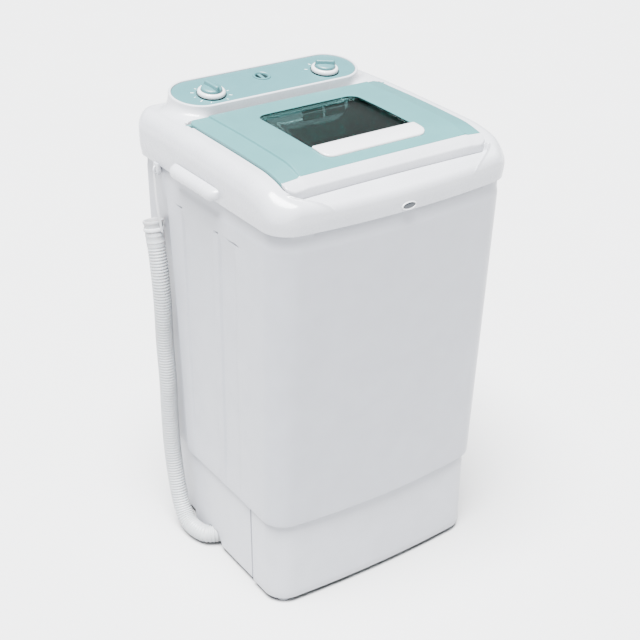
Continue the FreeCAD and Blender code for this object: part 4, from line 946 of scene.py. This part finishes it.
def grip_bar():
    def at(inset):
        return outline(*GRIP_BAR, 0.01, 13.0, 2.6, inset, counts=(40, 12, 10, 16))[0]

    middle = np.array([0.0, (GRIP_BAR[1] + GRIP_BAR[2]) / 2])
    core = at(4.0)
    rings = [lid_ring(at(0.4), 0.4), lid_ring(at(0.0), -0.3), lid_ring(at(0.0), -1.4), lid_ring(at(0.35), -2.1),
             lid_ring(at(1.0), -2.5), lid_ring(at(2.0), -2.7), lid_ring(core, -2.85)]
    rings += [lid_ring(middle + (core - middle) * k, -2.9) for k in (0.8, 0.5, 0.2)]
    piece(loft("lid_white_bar", rings, caps=True, smooth=35), "lid", "white_knob", "lid_grip_bar")


# ---------------------------------------------------------------- fittings
def handles():
    """Rounded grip ledge on each side of the cover, hollow underneath."""
    section = [(176.6, 578.5), (179.0, 577.9), (182.0, 576.9), (185.2, 574.6), (187.3, 571.2), (188.0, 567.4),
               (187.6, 563.4), (186.4, 560.4), (184.4, 558.7), (182.2, 558.4), (181.0, 559.6), (180.2, 561.6),
               (178.4, 562.4), (174.0, 562.6)]
    low, high = box_mm("handle_right")
    y0, y1, r = low[1], high[1], 13.0
    ys = np.concatenate([y0 + r * (1 - np.cos(np.linspace(0.12, math.pi / 2, 12))),
                         np.linspace(y0 + r, y1 - r, 16)[1:-1],
                         y1 - r * (1 - np.cos(np.linspace(math.pi / 2, 0.12, 12)))])
    for side, name in ((-1, "handle_left"), (1, "handle_right")):
        columns = []
        for y in ys:
            near = min(y - y0, y1 - y, r)
            swell = math.sqrt(max(1 - (1 - near / r) ** 2, 0.0))
            columns.append(np.array([(side * (174.0 + (x - 174.0) * (0.12 + 0.88 * swell)), y,
                                      571.5 + (z - 570.0) * 0.8 * (0.45 + 0.55 * swell)) for x, z in section]))
        ledge = loft(name + "_ledge", columns, caps=True, smooth=40)
        piece(ledge, "cabinet", "white_cover", name)


def badge():
    """Blank oval badge: bright rim and a dark, slightly domed centre."""
    low, high = box_mm("badge")
    cx, cz = (low[0] + high[0]) / 2, (low[2] + high[2]) / 2
    front = low[1]

    def oval(a, b, depth, n=56):
        t = np.linspace(0, 2 * math.pi, n, endpoint=False)
        return np.column_stack([cx + a * np.cos(t), np.full(n, front + depth), cz + b * np.sin(t)])

    rim = [oval(11.0, 5.5, 4.0), oval(11.0, 5.5, 0.9), oval(10.7, 5.2, 0.3), oval(10.1, 4.7, 0.0),
           oval(9.5, 4.1, 0.1), oval(9.1, 3.75, 0.5), oval(9.0, 3.6, 1.2), oval(9.0, 3.6, 4.0)]
    rim_piece = loft("badge_rim", rim, closed=True, smooth=40)
    piece(rim_piece, "cabinet", "badge_dark")
    rim_piece.data.materials[0] = MATERIALS["white_knob"]
    centre = [oval(9.1, 3.7, 3.0), oval(9.1, 3.7, 1.0), oval(7.5, 2.9, 0.6), oval(5.0, 1.9, 0.42),
              oval(2.0, 0.8, 0.34), oval(0.3, 0.1, 0.32)]
    piece(loft("badge_face", centre, caps=True, smooth=40), "cabinet", "badge_dark", "badge")


def strap_and_clip():
    """Moulded clip under the cover's edge and the strap that holds the hose to it."""
    def tube(points, r, n=12):
        line = smooth_line(points) / MM
        line, _ = resample(line, 1.2)
        return swept(line, np.full(len(line), r), n)

    tab = []
    for z, grow in ((560.5, 0.0), (557.0, 0.3), (551.0, 0.3), (547.0, 0.0), (545.2, -0.8), (544.6, -1.8)):
        plan = outline(3.2 + grow, -5.0 - grow, 5.0 + grow, 0.01, 2.0, 2.0, counts=(4, 4, 4, 4))[0]
        tab.append(ring(plan + np.array([-174.6, 116.5]), z))
    hook = tube([(-176.5, 117.0, 556.5), (-179.4, 115.6, 556.5), (-181.2, 114.6, 553.0), (-180.4, 114.4, 548.6),
                 (-177.6, 115.2, 547.0), (-175.4, 116.6, 548.0)], 1.3)
    clip = lofts("hose_clip_hook", [tab[::-1], hook], smooth=40)
    piece(clip, "cabinet", "white_cover", "hose_clip")

    top, low = Vector((-178.2, 118.4, 549.5)), Vector((-174.2, 116.0, 464.0))
    line = [top.lerp(low, t) + Vector((-1.2, 0.8, 0)) * math.sin(math.pi * t) for t in np.linspace(0, 1, 24)]
    strip = []
    for p in line:
        strip.append(np.array([(p.x - 0.6, p.y - 2.6, p.z), (p.x + 0.6, p.y - 2.6, p.z), (p.x + 0.9, p.y, p.z),
                               (p.x + 0.6, p.y + 2.6, p.z), (p.x - 0.6, p.y + 2.6, p.z), (p.x - 0.9, p.y, p.z)]))
    end = Vector(HOSE_ROUTE[-1])
    along = (end - Vector(HOSE_ROUTE[-2])).normalized()
    centre = end + along * 18.0
    side = along.cross(Vector((1, 0, 0))).normalized()
    up = along.cross(side)
    band = []
    for r, s in ((12.6, -2.4), (13.7, -2.2), (14.0, -1.4), (14.0, 1.4), (13.7, 2.2), (12.6, 2.4)):
        band.append(np.array([centre + along * s + (side * math.cos(t) + up * math.sin(t)) * r
                              for t in np.linspace(0, 2 * math.pi, 40, endpoint=False)]))
    vertices = np.concatenate([np.concatenate(strip), np.concatenate(band)])
    faces = ring_faces(len(strip), 6, False, True) + ring_faces(len(band), 40, True, False, len(strip) * 6)
    strap = add_object("hose_strap_strip", vertices, faces, 40)
    piece(strap, "cabinet", "strap_plastic", "hose_strap")


# ---------------------------------------------------------------- stage
def stage():
    material = surface_material("floor_pale", (0.48, 0.484, 0.49), 0.75, grain=300.0, depth=0.0001, tone=0.004,
                                mottle=2.0, Specular_IOR_Level=0.2)
    size = 9000.0
    ground = add_object("floor", [(-size, -size, 0), (size, -size, 0), (size, size, 0), (-size, size, 0)],
                        [(0, 1, 2, 3)])
    ground.data.materials.append(material)
    world = bpy.data.worlds.new("studio")
    bpy.context.scene.world = world
    world.use_nodes = True
    back = world.node_tree.nodes["Background"]
    back.inputs["Color"].default_value = (0.965, 0.98, 1.0, 1.0)
    back.inputs["Strength"].default_value = 0.4
    sun = bpy.data.lights.new("soft_key", "SUN")
    sun.energy = 31.0
    sun.angle = math.radians(35)
    lamp = bpy.data.objects.new("soft_key", sun)
    bpy.context.scene.collection.objects.link(lamp)
    lamp.rotation_euler = Vector((0.26, 0.22, -1.3)).to_track_quat("-Z", "Y").to_euler()


make_camera()
drain_hose()
dress_frame()
housing()
base_shell()
base_cap()
top_cover()
fill_outlet()
control_hump()
control_face()
knob_parts()
panel_print()
inlet_port()
lid_frame()
lid_band()
lid_window()
grip_bar()
handles()
badge()
strap_and_clip()
stage()
